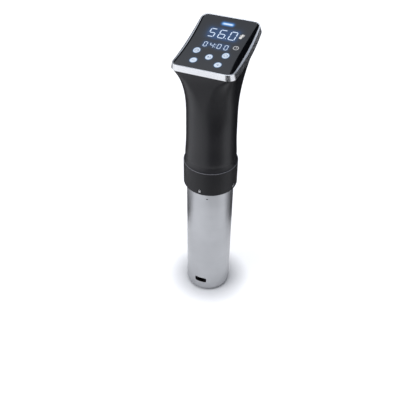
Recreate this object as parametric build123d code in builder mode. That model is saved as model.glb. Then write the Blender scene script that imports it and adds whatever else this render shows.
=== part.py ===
from build123d import *
from math import cos, pi, radians, sin, sqrt, tan
import os

os.makedirs("parts", exist_ok=True)

# A sous vide circulator: a stick that stands in a pot, with a steel wet end below the collar and a
# grip that flares into a tilted touch panel above it.
# Millimetres. Z runs up the stick from the foot's lower face, and the panel is read from -Y.

# Steel sleeve and foot
sleeve_diameter = 58.0
sleeve_wall = 0.8
immersion_length = 175.0
foot_height = 12.0
foot_edge_radius = 7.0
foot_wall = 1.6
foot_spigot_height = 3.5
foot_recess = 0.8
foot_ring_width = 3.0
foot_pad_diameter = 10.0
intake_count = 8
intake_width = 4.0
intake_length = 9.0
outlet_width = 16.0
outlet_height = 8.0
outlet_height_above_foot = 20.0
outlet_corner = 2.4

# Collar and twist lock
collar_overhang = 4.0
collar_height = 32.8
collar_wall = 3.0
collar_lip_height = 3.0
collar_edge_radius = 0.8
ridge_ledge = 0.5
bevel_height = 6.5
bevel_inset = 2.3
spigot_height = 10.0
spigot_wall = 2.2
groove_height = 3.0
groove_depth = 1.0
deck_thickness = 4.0
lock_count = 3
lock_phase = -112.0
lock_turn = 25.0
lock_pin_diameter = 4.0
lock_pin_rise = 10.0
sleeve_engagement = 17.5

# Base plate that carries the wet parts
base_plate_thickness = 5.0
base_spigot_height = 15.0
base_spigot_wall = 2.0
gasket_thickness = 1.0
base_screw_count = 4
base_screw_diameter = 3.0
base_screw_head_diameter = 4.4
base_screw_head_height = 2.0
base_screw_depth = 3.6

# Heater, probe and electrodes
heater_diameter = 8.0
heater_leg_x = 9.0
heater_leg_y = 13.0
heater_low = 45.0
heater_stub = 4.0
terminal_diameter = 3.0
terminal_length = 5.0
probe_diameter = 5.0
probe_offset = 17.0
probe_low = 60.0
electrode_diameter = 3.0
electrode_spread = 8.0
electrode_low = 115.0

# Pump shaft and impeller
pump_shaft_diameter = 5.0
shaft_tube_diameter = 12.0
shaft_tube_wall = 1.5
shaft_tube_low = 34.0
bush_length = 10.0
seal_diameter = 18.0
seal_seat = 1.0
impeller_diameter = 34.0
impeller_hub_diameter = 12.0
impeller_height = 12.0
impeller_low = 18.0
impeller_disc = 2.0
blade_count = 6
blade_thickness = 1.6
nut_across = 9.0
nut_height = 4.0
shaft_tip = 0.5

# Motor
motor_mount_thickness = 4.0
motor_diameter = 36.0
motor_length = 42.0
motor_wall = 1.2
motor_face = 2.4
motor_cap_thickness = 4.0
motor_shaft_diameter = 4.0
bearing_diameter = 10.0
bearing_length = 4.0
magnet_thickness = 4.5
magnet_margin = 4.0
armature_gap = 0.6
armature_margin = 7.0
coupling_diameter = 12.0
coupling_length = 16.0
motor_screw_diameter = 3.0
motor_screw_head_diameter = 5.4
motor_screw_head_height = 2.0
motor_screw_spread = 20.0

# Grip and head shells
grip_height = 52.7
grip_taper = 1.2
flare_height = 79.0
head_setback = 11.4
head_corner = 8.6
shell_wall = 2.4
post_diameter = 6.4
low_post_rise = 26.0
high_post_rise = 102.0
shell_screw_diameter = 3.0
shell_screw_head_diameter = 5.2
shell_screw_head_height = 2.4
shell_screw_seat = 8.0
shell_screw_reach = 8.0
clamp_rib_height = 2.6
clamp_rib_width = 3.0

# Touch panel and bezel
panel_width = 69.0
panel_length = 93.6
panel_corner = 8.0
panel_tilt = 12.2
panel_arc_radius = 207.0
bezel_height = 7.3
bezel_draft = 13.0
bezel_overhang = 0.8
bezel_lip = 1.1
bezel_ledge = 2.6
glass_recess = 0.3
glass_thickness = 1.8
panel_gasket_thickness = 0.5
tab_length = 16.0
tab_thickness = 1.2
tab_drop = 5.0

# Control board, display and light guides
board_thickness = 1.6
board_width = 54.0
board_front = 38.0
board_rear = 32.0
board_corner = 5.0
display_width = 44.5
display_length = 34.0
display_height = 6.0
display_x = 2.75
display_y = 11.0
key_diameter = 8.0
upper_key_x = 16.6
upper_key_y = -12.0
lower_key_x = 13.8
lower_key_y = -30.4
middle_key_y = -19.7
status_width = 14.0
status_depth = 2.4
status_margin = 9.9
status_gap = 2.3
buzzer_diameter = 12.0
buzzer_height = 5.0
buzzer_x = 15.0
buzzer_y = -22.0

# Chassis, power board and what it carries
chassis_wall = 2.5
chassis_width = 36.0
chassis_foot_thickness = 3.0
chassis_foot_diameter = 34.0
chassis_foot_bore = 12.0
tray_width = 52.0
tray_front = 40.0
tray_rear = 22.0
tray_corner = 8.0
tray_thickness = 2.0
tray_drop = 6.0
standoff_diameter = 5.0
standoff_length = 5.0
board_screw_diameter = 2.0
board_screw_head_diameter = 3.8
board_screw_head_height = 1.4
board_screw_depth = 4.0
tray_screw_x = 22.5
tray_screw_front_y = -35.0
tray_screw_rear_y = 18.0
power_board_height = 42.0
power_board_rise = 3.0
power_screw_inset = 3.6
transformer_width = 16.0
transformer_height = 11.0
winding_width = 9.6
winding_height = 15.0
transformer_depth = 16.0
transformer_x = -7.2
transformer_rise = 12.4
capacitor_diameter = 12.0
capacitor_height = 18.0
capacitor_x = 8.6
capacitor_rise = 13.0
relay_width = 11.0
relay_height = 16.0
relay_depth = 14.0
relay_x = 6.0
relay_rise = 31.0
sink_width = 30.0
sink_height = 20.0
sink_base = 3.0
sink_depth = 10.0
sink_fin = 1.6
sink_fins = 6
sink_rise = 31.0

# Cable gland
gland_bore = 7.2
gland_body_diameter = 11.0
gland_flange_diameter = 14.0
gland_flange_thickness = 2.6
gland_edge_radius = 1.0
gland_rise = 78.0
gland_boss_diameter = 16.0
gland_boss_proud = 0.6
gland_nut_diameter = 15.0
gland_nut_thickness = 3.0

# Spring clamp behind the collar
clamp_width = 17.4
clamp_pin_diameter = 4.0
clamp_pin_setback = 9.0
clamp_pin_rise = 21.0
bracket_height = 16.0
bracket_plate = 2.6
ear_thickness = 2.4
knuckle_radius = 5.0
spring_window = 11.6
jaw_drop = 55.0
arm_thickness = 4.0
arm_gap = 9.5
jaw_slope = 14.0
jaw_bend_radius = 4.0
jaw_tip_radius = 1.6
clamp_edge_radius = 0.7
paddle_rise = 32.0
paddle_lean = 1.5
paddle_thickness = 2.8
paddle_tip_radius = 1.2
paddle_groove_count = 5
paddle_groove_pitch = 3.6
paddle_groove_radius = 0.9
pad_height = 12.0
pad_thickness = 3.0
bracket_screw_diameter = 3.0
bracket_screw_head_diameter = 5.0
bracket_screw_head_height = 1.6
bracket_screw_spread = 10.0
spring_wire = 1.2
spring_mean_radius = 4.0
spring_pitch = 1.8
spring_start = 200.0
spring_end = 1440.0
fixed_leg = 5.4
moving_leg = 8.0

# Clearances
running_fit = 0.05
seat_fit = 0.02
slide_gap = 0.4
slot_gap = 0.3
seam_gap = 0.3
hinge_gap = 0.3
pad_gap = 0.4
guide_gap = 0.3

# Radii and heights that follow
sleeve_radius = sleeve_diameter / 2
sleeve_bore = sleeve_radius - sleeve_wall
collar_radius = sleeve_radius + collar_overhang
collar_bore = collar_radius - collar_wall
lip_bore = sleeve_radius + slide_gap
grip_base_radius = collar_radius - bevel_inset
waist_radius = grip_base_radius - grip_taper
collar_z = immersion_length
ridge_z = collar_z + collar_height
grip_z = ridge_z + bevel_height
waist_z = grip_z + grip_height
head_z = waist_z + flare_height
sleeve_top = collar_z + sleeve_engagement
lock_z = collar_z + lock_pin_rise
base_low = sleeve_top + slide_gap
base_top = base_low + base_plate_thickness
deck_low = base_top + gasket_thickness
deck_top = deck_low + deck_thickness
mount_low = grip_z + spigot_height
mount_top = mount_low + motor_mount_thickness
motor_top = mount_top + motor_length
cap_top = motor_top + motor_cap_thickness
chassis_top = cap_top + chassis_foot_thickness
base_spigot_radius = sleeve_bore - slide_gap
leg_radius = sqrt(heater_leg_x**2 + heater_leg_y**2)
deck_hole = leg_radius + heater_diameter / 2 + slide_gap
base_screw_radius = deck_hole + base_screw_head_diameter / 2 + slide_gap


def grip_radius(height):
    """The grip's radius at a height: it draws in from the bevel to the waist as a parabola."""
    share = (waist_z - height) / grip_height
    return waist_radius + grip_taper * share**2


spigot_radius = grip_radius(mount_low) - shell_wall - seam_gap
bevel_radius = collar_radius - ridge_ledge
bevel_slope = 2 * grip_taper / grip_height

# The panel's frame: its middle is on the lip's chord, and its normal leans forwards by the tilt.
tilt = radians(panel_tilt)
panel_normal = Vector(0, -sin(tilt), cos(tilt))
panel_along = Vector(0, cos(tilt), sin(tilt))
panel_middle = Vector(0, head_setback, head_z) + panel_normal * bezel_height
panel_plane = Plane(origin=panel_middle, x_dir=(1, 0, 0), z_dir=panel_normal)
panel_side = Plane(origin=panel_middle, x_dir=panel_along, z_dir=(1, 0, 0))
arc_centre = sqrt(panel_arc_radius**2 - (panel_length / 2) ** 2)
panel_sag = panel_arc_radius - arc_centre
draft = tan(radians(bezel_draft))
head_half_width = panel_width / 2 + bezel_height * draft - bezel_overhang
head_half_length = panel_length / 2 + bezel_height * draft - bezel_overhang

# How the grip turns into the head: shares of the flare, and how late each measure takes off
grip_shares = (0.0, 0.35, 0.7)
flare_shares = (0.0, 0.2, 0.4, 0.6, 0.8, 1.0)
width_power = 2.15
length_power = 2.95
setback_power = 4.3
corner_power = 2.9
tilt_power = 1.5
section_flat = 0.3
cavity_reach = 0.02


def flare(start, end, share, power):
    """A measure on its way from the waist to the head, late or early by its power."""
    return start + (end - start) * share**power


def head_section(share, inset):
    """The head's rounded section at a share of the flare, drawn in all round by inset."""
    half_width = flare(waist_radius, head_half_width, share, width_power) - inset
    half_length = flare(waist_radius, head_half_length, share, length_power) - inset
    corner = flare(waist_radius, head_corner, share, corner_power) - inset
    corner = min(corner, half_width - section_flat, half_length - section_flat)
    lean = radians(flare(0, panel_tilt, share, tilt_power))
    centre = (0, flare(0, head_setback, share, setback_power), waist_z + flare_height * share)
    plane = Plane(origin=centre, x_dir=(1, 0, 0), z_dir=(0, -sin(lean), cos(lean)))
    with BuildSketch(plane) as section:
        RectangleRounded(2 * half_width, 2 * half_length, corner)
    return section.sketch.face()


def grip_section(share, inset):
    """The grip's round section at a share of its height above the bevel, drawn in by inset."""
    height = grip_z + grip_height * share
    radius = grip_radius(height) - inset
    with BuildSketch(Plane.XY.offset(height)) as section:
        RectangleRounded(2 * radius, 2 * radius, radius - section_flat)
    return section.sketch.face()


def body_rear(height):
    """How far back the flare reaches at a height, along its middle."""
    share = (height - waist_z) / flare_height
    reach = flare(waist_radius, head_half_length, share, length_power)
    return reach + flare(0, head_setback, share, setback_power)


def body_sections(inset, reach):
    """Sections from the grip's foot to the head's top, past both ends by a reach."""
    grip = [grip_section(share, inset) for share in (grip_shares[0] - reach, *grip_shares[1:])]
    head = [head_section(share, inset) for share in (*flare_shares[:-1], flare_shares[-1] + reach)]
    return grip + head


def panel_band(top_depth, bottom_depth):
    """The slab between two depths below the lip's curve, right across the head."""
    with BuildPart() as band:
        with BuildSketch(panel_side):
            with Locations((0, arc_centre)):
                Circle(panel_arc_radius + bottom_depth)
                Circle(panel_arc_radius + top_depth, mode=Mode.SUBTRACT)
        extrude(amount=panel_width, both=True)
    return band.part


def panel_hollow(depth):
    """All that lies above a depth below the lip's curve."""
    with BuildPart() as hollow:
        with BuildSketch(panel_side):
            with Locations((0, arc_centre)):
                Circle(panel_arc_radius + depth)
        extrude(amount=panel_width, both=True)
    return hollow.part


def panel_prism(inset):
    """The panel's outline drawn in by inset, as a block that runs through bezel and board."""
    with BuildPart() as prism:
        with BuildSketch(panel_plane.offset(-panel_length / 2)):
            RectangleRounded(panel_width - 2 * inset, panel_length - 2 * inset, panel_corner - inset)
        extrude(amount=panel_length)
    return prism.part


def finish(name, builder):
    """Label one sub-part and write it under its name."""
    builder.part.label = name
    export_step(builder.part, f"parts/{name}.step")


# Steel sleeve: a drawn tube with the water outlet in front and three L slots for the twist lock
with BuildPart() as steel_sleeve:
    with BuildSketch(Plane.XY.offset(foot_height)):
        Circle(sleeve_radius)
        Circle(sleeve_bore, mode=Mode.SUBTRACT)
    extrude(amount=sleeve_top - foot_height)
    with BuildSketch(Plane.XZ):
        with Locations((0, outlet_height_above_foot)):
            RectangleRounded(outlet_width, outlet_height, outlet_corner)
    extrude(amount=2 * sleeve_radius, mode=Mode.SUBTRACT)
    slot_half = lock_pin_diameter / 2 + slot_gap
    slot_reach = 2 * sleeve_radius
    for turn in range(lock_count):
        closed_end = lock_phase + turn * 360 / lock_count
        open_end = closed_end - lock_turn
        with BuildSketch(Plane.XY.offset(lock_z - slot_half)):
            with BuildLine():
                rim_start = (slot_reach * cos(radians(open_end)), slot_reach * sin(radians(open_end)))
                rim_end = (slot_reach * cos(radians(closed_end)), slot_reach * sin(radians(closed_end)))
                Polyline((0, 0), rim_start, rim_end, close=True)
            make_face()
        extrude(amount=2 * slot_half, mode=Mode.SUBTRACT)
        for angle in (open_end, closed_end):
            with Locations(Location((0, 0, lock_z), (0, 0, angle))):
                Cylinder(slot_half, slot_reach, rotation=(0, 90, 0),
                         align=(Align.CENTER, Align.CENTER, Align.MIN), mode=Mode.SUBTRACT)
        with Locations(Location((0, 0, lock_z), (0, 0, open_end))):
            Box(slot_reach, 2 * slot_half, sleeve_top,
                align=(Align.MIN, Align.CENTER, Align.MIN), mode=Mode.SUBTRACT)
finish("steel_sleeve", steel_sleeve)

# Foot cap: a rounded cup that plugs into the sleeve. It stands on a notched ring and a middle pad,
# with the intake slots between them
foot_ring_radius = sleeve_radius - foot_edge_radius - foot_ring_width
with BuildPart() as foot_cap:
    Cylinder(sleeve_radius, foot_height, align=(Align.CENTER, Align.CENTER, Align.MIN))
    fillet(foot_cap.edges().sort_by(Axis.Z)[0], foot_edge_radius)
    offset(amount=-foot_wall, openings=foot_cap.faces().sort_by(Axis.Z)[-1])
    with BuildSketch(Plane.XY.offset(foot_height - foot_spigot_height)):
        Circle(sleeve_bore - running_fit)
        Circle(sleeve_bore - foot_wall, mode=Mode.SUBTRACT)
    extrude(amount=2 * foot_spigot_height)
    with BuildSketch():
        Circle(foot_ring_radius)
        Rectangle(2 * sleeve_radius, intake_width)
        Rectangle(intake_width, 2 * sleeve_radius)
        Circle(foot_pad_diameter / 2, mode=Mode.SUBTRACT)
    extrude(amount=foot_recess, mode=Mode.SUBTRACT)
    with BuildSketch():
        with PolarLocations(foot_ring_radius - intake_length / 2 - foot_recess, intake_count):
            SlotOverall(intake_length, intake_width)
    extrude(amount=foot_height, mode=Mode.SUBTRACT)
finish("foot_cap", foot_cap)

# Base plate: the floor of the head, with a spigot that the sleeve turns on
with BuildPart() as base_plate:
    with BuildSketch(Plane.XY.offset(base_low)):
        Circle(collar_bore - slide_gap)
    extrude(amount=base_plate_thickness)
    with BuildSketch(Plane.XY.offset(base_low - base_spigot_height)):
        Circle(base_spigot_radius)
        Circle(base_spigot_radius - base_spigot_wall, mode=Mode.SUBTRACT)
    extrude(amount=base_spigot_height)
    with Locations((0, 0, base_top)):
        CounterBoreHole(shaft_tube_diameter / 2 + seat_fit, seal_diameter / 2 + seat_fit,
                        base_plate_thickness - seal_seat)
        with GridLocations(2 * heater_leg_x, 2 * heater_leg_y, 2, 2):
            Hole(heater_diameter / 2 + seat_fit, base_plate_thickness)
        with Locations((-probe_offset, 0)):
            Hole(probe_diameter / 2 + seat_fit, base_plate_thickness)
        with Locations((probe_offset, -electrode_spread / 2), (probe_offset, electrode_spread / 2)):
            Hole(electrode_diameter / 2 + seat_fit, base_plate_thickness)
        with PolarLocations(base_screw_radius, base_screw_count, start_angle=180 / base_screw_count):
            Hole(base_screw_diameter / 2 + seat_fit, base_screw_depth + seat_fit)
    for turn in range(lock_count):
        with Locations(Location((0, 0, lock_z), (0, 0, lock_phase + turn * 360 / lock_count))):
            Cylinder(lock_pin_diameter / 2 + seat_fit, collar_radius, rotation=(0, 90, 0),
                     align=(Align.CENTER, Align.CENTER, Align.MIN), mode=Mode.SUBTRACT)
finish("base_plate", base_plate)

# Three lock pins, pressed out through the spigot's wall
with BuildPart() as bayonet_pins:
    pin_start = base_spigot_radius - base_spigot_wall
    pin_end = collar_bore - slide_gap
    for turn in range(lock_count):
        with Locations(Location((0, 0, lock_z), (0, 0, lock_phase + turn * 360 / lock_count))):
            with Locations((pin_start, 0, 0)):
                Cylinder(lock_pin_diameter / 2, pin_end - pin_start, rotation=(0, 90, 0),
                         align=(Align.CENTER, Align.CENTER, Align.MIN))
finish("bayonet_pins", bayonet_pins)

# Flat gasket between the base plate and the collar's deck
with BuildPart() as base_gasket:
    with BuildSketch(Plane.XY.offset(base_top)):
        Circle(collar_bore - 2 * slide_gap)
        Circle(deck_hole, mode=Mode.SUBTRACT)
        with PolarLocations(base_screw_radius, base_screw_count, start_angle=180 / base_screw_count):
            Circle(base_screw_diameter / 2 + seat_fit, mode=Mode.SUBTRACT)
    extrude(amount=gasket_thickness)
finish("base_gasket", base_gasket)

# Collar: a turned ring with a deck inside, rounded edges and the spigot for the shells
bracket_z = collar_z + clamp_pin_rise
with BuildPart() as collar:
    with BuildSketch(Plane.XZ):
        with BuildLine():
            Polyline(
                (lip_bore, collar_z),
                (collar_radius, collar_z),
                (collar_radius, ridge_z),
                (spigot_radius, ridge_z),
                (spigot_radius, grip_z + groove_height),
                (spigot_radius - groove_depth, grip_z + groove_height),
                (spigot_radius - groove_depth, grip_z + 2 * groove_height),
                (spigot_radius, grip_z + 2 * groove_height),
                (spigot_radius, mount_low),
                (spigot_radius - spigot_wall, mount_low),
                (spigot_radius - spigot_wall, deck_top),
                (deck_hole, deck_top),
                (deck_hole, deck_low),
                (collar_bore, deck_low),
                (collar_bore, collar_z + collar_lip_height),
                (lip_bore, collar_z + collar_lip_height),
                close=True,
            )
        make_face()
    revolve(axis=Axis.Z)
    fillet(collar.edges().filter_by(GeomType.CIRCLE).group_by(SortBy.RADIUS)[-1], collar_edge_radius)
    with Locations((0, 0, deck_top)):
        with PolarLocations(base_screw_radius, base_screw_count, start_angle=180 / base_screw_count):
            Hole(base_screw_diameter / 2 + seat_fit, deck_thickness)
    with BuildSketch(Plane.XZ):
        with Locations((0, bracket_z)):
            with GridLocations(0, bracket_screw_spread, 1, 2):
                Circle(bracket_screw_diameter / 2 + seat_fit)
    extrude(amount=-collar_radius, mode=Mode.SUBTRACT)
finish("collar", collar)

# Screws that pull the base plate up against the deck
with BuildPart() as base_screws:
    with Locations((0, 0, deck_top)):
        with PolarLocations(base_screw_radius, base_screw_count, start_angle=180 / base_screw_count):
            Cylinder(base_screw_head_diameter / 2, base_screw_head_height,
                     align=(Align.CENTER, Align.CENTER, Align.MIN))
            Cylinder(base_screw_diameter / 2, deck_top - base_top + base_screw_depth,
                     align=(Align.CENTER, Align.CENTER, Align.MAX))
finish("base_screws", base_screws)

# Heater: two sheathed hairpins that hang from the base plate, with terminal pins on top
heater_top = base_top + heater_stub
bend_z = heater_low + heater_leg_x + heater_diameter / 2
with BuildPart() as heater_element:
    with BuildLine() as hairpin:
        down = Line((heater_leg_x, heater_leg_y, heater_top), (heater_leg_x, heater_leg_y, bend_z))
        bend = TangentArc(down @ 1, (-heater_leg_x, heater_leg_y, bend_z), tangent=down % 1)
        Line(bend @ 1, (-heater_leg_x, heater_leg_y, heater_top))
    with BuildSketch(Plane(origin=down @ 0, z_dir=down % 0)):
        Circle(heater_diameter / 2)
    sweep()
    with Locations((0, heater_leg_y, heater_top)):
        with GridLocations(2 * heater_leg_x, 0, 2, 1):
            Cylinder(terminal_diameter / 2, terminal_length,
                     align=(Align.CENTER, Align.CENTER, Align.MIN))
    mirror(about=Plane.XZ)
finish("heater_element", heater_element)

# Temperature probe: a closed tube with a round tip
with BuildPart() as temperature_probe:
    with BuildSketch(Plane.XY.offset(probe_low)):
        with Locations((-probe_offset, 0)):
            Circle(probe_diameter / 2)
    extrude(amount=base_top + heater_stub - probe_low)
    fillet(temperature_probe.edges().sort_by(Axis.Z)[0], probe_diameter / 2 - section_flat)
finish("temperature_probe", temperature_probe)

# Two level electrodes, one a little shorter than the other
with BuildPart() as level_electrodes:
    for side in (-1, 1):
        low = electrode_low + (side + 1) * electrode_spread / 2
        with BuildSketch(Plane.XY.offset(low)):
            with Locations((probe_offset, side * electrode_spread / 2)):
                Circle(electrode_diameter / 2)
        extrude(amount=base_top + heater_stub - low)
finish("level_electrodes", level_electrodes)

# Shaft tube, with the bush that steadies the shaft at its lower end
tube_bore = shaft_tube_diameter / 2 - shaft_tube_wall
with BuildPart() as shaft_tube:
    with BuildSketch(Plane.XY.offset(shaft_tube_low)):
        Circle(shaft_tube_diameter / 2)
        Circle(tube_bore, mode=Mode.SUBTRACT)
    extrude(amount=base_low + seal_seat - shaft_tube_low)
finish("shaft_tube", shaft_tube)

with BuildPart() as shaft_bush:
    with BuildSketch(Plane.XY.offset(shaft_tube_low)):
        Circle(tube_bore - seat_fit)
        Circle(pump_shaft_diameter / 2 + running_fit, mode=Mode.SUBTRACT)
    extrude(amount=bush_length)
finish("shaft_bush", shaft_bush)

# Shaft seal in the base plate's counterbore
with BuildPart() as shaft_seal:
    with BuildSketch(Plane.XY.offset(base_low + seal_seat)):
        Circle(seal_diameter / 2)
        Circle(pump_shaft_diameter / 2 + running_fit, mode=Mode.SUBTRACT)
    extrude(amount=base_plate_thickness - seal_seat)
finish("shaft_seal", shaft_seal)

# Coupling that joins the motor's shaft to the pump's
coupling_top = mount_low - slide_gap
coupling_low = coupling_top - coupling_length
coupling_middle = (coupling_top + coupling_low) / 2
with BuildPart() as shaft_coupling:
    with BuildSketch(Plane.XY.offset(coupling_low)):
        Circle(coupling_diameter / 2)
    extrude(amount=coupling_length)
    with BuildSketch(Plane.XY.offset(coupling_low)):
        Circle(pump_shaft_diameter / 2 + seat_fit)
    extrude(amount=coupling_length / 2, mode=Mode.SUBTRACT)
    with BuildSketch(Plane.XY.offset(coupling_middle)):
        Circle(motor_shaft_diameter / 2 + seat_fit)
    extrude(amount=coupling_length / 2, mode=Mode.SUBTRACT)
finish("shaft_coupling", shaft_coupling)

# Pump shaft, from the nut under the impeller to the coupling
nut_low = impeller_low - nut_height
with BuildPart() as pump_shaft:
    with BuildSketch(Plane.XY.offset(nut_low - shaft_tip)):
        Circle(pump_shaft_diameter / 2)
    extrude(amount=coupling_middle - seat_fit - nut_low + shaft_tip)
    chamfer(pump_shaft.edges().sort_by(Axis.Z)[0], shaft_tip)
finish("pump_shaft", pump_shaft)

# Impeller: a disc and hub with straight blades under it
with BuildPart() as impeller:
    with BuildSketch(Plane.XY.offset(impeller_low)):
        Circle(impeller_hub_diameter / 2)
        with PolarLocations(impeller_diameter / 4, blade_count):
            Rectangle(impeller_diameter / 2 - blade_thickness, blade_thickness)
    extrude(amount=impeller_height)
    with BuildSketch(Plane.XY.offset(impeller_low + impeller_height - impeller_disc)):
        Circle(impeller_diameter / 2)
    extrude(amount=impeller_disc)
    with Locations((0, 0, impeller_low + impeller_height)):
        Hole(pump_shaft_diameter / 2 + seat_fit, impeller_height)
finish("impeller", impeller)

with BuildPart() as impeller_nut:
    with BuildSketch(Plane.XY.offset(nut_low)):
        RegularPolygon(nut_across / 2, 6, major_radius=False)
        Circle(pump_shaft_diameter / 2 + seat_fit, mode=Mode.SUBTRACT)
    extrude(amount=nut_height)
finish("impeller_nut", impeller_nut)

# Motor mount: a disc on the collar's spigot, held down by the shells' upper rib
motor_radius = motor_diameter / 2
with BuildPart() as motor_mount:
    with BuildSketch(Plane.XY.offset(mount_low)):
        Circle(spigot_radius - seam_gap)
        Circle(bearing_diameter / 2 + slide_gap, mode=Mode.SUBTRACT)
        with GridLocations(motor_screw_spread, 0, 2, 1):
            Circle(motor_screw_diameter / 2 + seat_fit, mode=Mode.SUBTRACT)
    extrude(amount=motor_mount_thickness)
finish("motor_mount", motor_mount)

# Motor can: a drawn cup with its face on the mount
can_bore = motor_radius - motor_wall
with BuildPart() as motor_can:
    with BuildSketch(Plane.XY.offset(mount_top)):
        Circle(motor_radius)
    extrude(amount=motor_length)
    with BuildSketch(Plane.XY.offset(mount_top + motor_face)):
        Circle(can_bore)
    extrude(amount=motor_length, mode=Mode.SUBTRACT)
    with BuildSketch(Plane.XY.offset(mount_top)):
        Circle(bearing_diameter / 2 + seat_fit)
        with GridLocations(motor_screw_spread, 0, 2, 1):
            Circle(motor_screw_diameter / 2 + seat_fit)
    extrude(amount=motor_face, mode=Mode.SUBTRACT)
finish("motor_can", motor_can)

with BuildPart() as motor_end_cap:
    with BuildSketch(Plane.XY.offset(motor_top)):
        Circle(motor_radius)
    extrude(amount=motor_cap_thickness)
    with BuildSketch(Plane.XY.offset(motor_top - bearing_length / 2)):
        Circle(can_bore - seat_fit)
    extrude(amount=bearing_length / 2)
    with BuildSketch(Plane.XY.offset(motor_top - bearing_length / 2)):
        Circle(bearing_diameter / 2 + seat_fit)
    extrude(amount=bearing_length, mode=Mode.SUBTRACT)
finish("motor_end_cap", motor_end_cap)

# Two sintered bearings, one in the can's face and one in the end cap
front_bearing_low = mount_top
rear_bearing_low = motor_top - bearing_length / 2
with BuildPart() as motor_bearings:
    for low in (front_bearing_low, rear_bearing_low):
        with BuildSketch(Plane.XY.offset(low)):
            Circle(bearing_diameter / 2)
            Circle(motor_shaft_diameter / 2 + running_fit, mode=Mode.SUBTRACT)
        extrude(amount=bearing_length)
finish("motor_bearings", motor_bearings)

# Two magnet arcs inside the can
magnet_low = mount_top + motor_face + magnet_margin
magnet_high = motor_top - bearing_length / 2 - magnet_margin
with BuildPart() as motor_magnets:
    with BuildSketch(Plane.XY.offset(magnet_low)):
        Circle(can_bore - seat_fit)
        Circle(can_bore - magnet_thickness, mode=Mode.SUBTRACT)
        Rectangle(2 * magnet_thickness, motor_diameter, mode=Mode.SUBTRACT)
    extrude(amount=magnet_high - magnet_low)
finish("motor_magnets", motor_magnets)

# Armature: a stack with three slots between its poles
armature_radius = can_bore - magnet_thickness - armature_gap
armature_low = mount_top + armature_margin
armature_high = motor_top - armature_margin
with BuildPart() as armature:
    with BuildSketch(Plane.XY.offset(armature_low)):
        Circle(armature_radius)
        with PolarLocations(armature_radius, 3):
            SlotOverall(armature_radius, magnet_thickness, mode=Mode.SUBTRACT)
        Circle(motor_shaft_diameter / 2 + seat_fit, mode=Mode.SUBTRACT)
    extrude(amount=armature_high - armature_low)
finish("armature", armature)

with BuildPart() as motor_shaft:
    with BuildSketch(Plane.XY.offset(coupling_middle)):
        Circle(motor_shaft_diameter / 2)
    extrude(amount=rear_bearing_low + bearing_length - coupling_middle)
finish("motor_shaft", motor_shaft)

with BuildPart() as motor_screws:
    with Locations((0, 0, mount_low)):
        with GridLocations(motor_screw_spread, 0, 2, 1):
            Cylinder(motor_screw_head_diameter / 2, motor_screw_head_height,
                     align=(Align.CENTER, Align.CENTER, Align.MAX))
            Cylinder(motor_screw_diameter / 2, motor_mount_thickness + motor_face,
                     align=(Align.CENTER, Align.CENTER, Align.MIN))
finish("motor_screws", motor_screws)

# The room inside the shells, less the screw posts and the ribs that grip the collar and the mount
post_x = motor_radius + post_diameter / 2 + 2 * seam_gap
post_heights = (grip_z + low_post_rise, grip_z + high_post_rise)
post_spots = [(side * post_x, 0, height) for side in (-1, 1) for height in post_heights]
with BuildPart() as shell_cavity:
    loft(sections=body_sections(shell_wall, cavity_reach))
    with BuildSketch(Plane.XY.offset(ridge_z - seam_gap)):
        Circle(spigot_radius + seam_gap)
    extrude(amount=bevel_height + seam_gap)
    with Locations(*post_spots):
        Cylinder(post_diameter / 2, 2 * panel_length, rotation=(90, 0, 0), mode=Mode.SUBTRACT)
    with BuildSketch(Plane.XY.offset(grip_z + groove_height + seam_gap)):
        Circle(2 * collar_radius)
        Circle(spigot_radius - groove_depth + seam_gap, mode=Mode.SUBTRACT)
    extrude(amount=groove_height - 2 * seam_gap, mode=Mode.SUBTRACT)
    with BuildSketch(Plane.XY.offset(mount_top + seat_fit)):
        Circle(2 * collar_radius)
        Circle(spigot_radius - seam_gap - clamp_rib_width, mode=Mode.SUBTRACT)
    extrude(amount=clamp_rib_height, mode=Mode.SUBTRACT)

# The shells' bevel, a hollow curve that runs from the grip out to the collar's top edge
with BuildPart() as shell_bevel:
    with BuildSketch(Plane.XZ):
        with BuildLine():
            bevel_top = (grip_base_radius + section_flat / 2, grip_z)
            hollow_curve = TangentArc(bevel_top, (bevel_radius, ridge_z), tangent=(bevel_slope, -1))
            Polyline(
                hollow_curve @ 1,
                (0, ridge_z),
                (0, grip_z + bevel_inset),
                (grip_base_radius - bevel_inset, grip_z + bevel_inset),
                hollow_curve @ 0,
            )
        make_face()
    revolve(axis=Axis.Z)

# Front shell: half of the grip and head, with blind holes in its posts
with BuildPart() as front_shell:
    loft(sections=body_sections(0, 0))
    add(shell_bevel.part)
    add(shell_cavity.part, mode=Mode.SUBTRACT)
    add(panel_hollow(bezel_height + seam_gap), mode=Mode.SUBTRACT)
    split(bisect_by=Plane.XZ, keep=Keep.TOP)
    with Locations(*post_spots):
        Cylinder(shell_screw_diameter / 2 + seat_fit, shell_screw_reach + seat_fit, rotation=(90, 0, 0),
                 align=(Align.CENTER, Align.CENTER, Align.MIN), mode=Mode.SUBTRACT)
finish("front_shell", front_shell)

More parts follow.
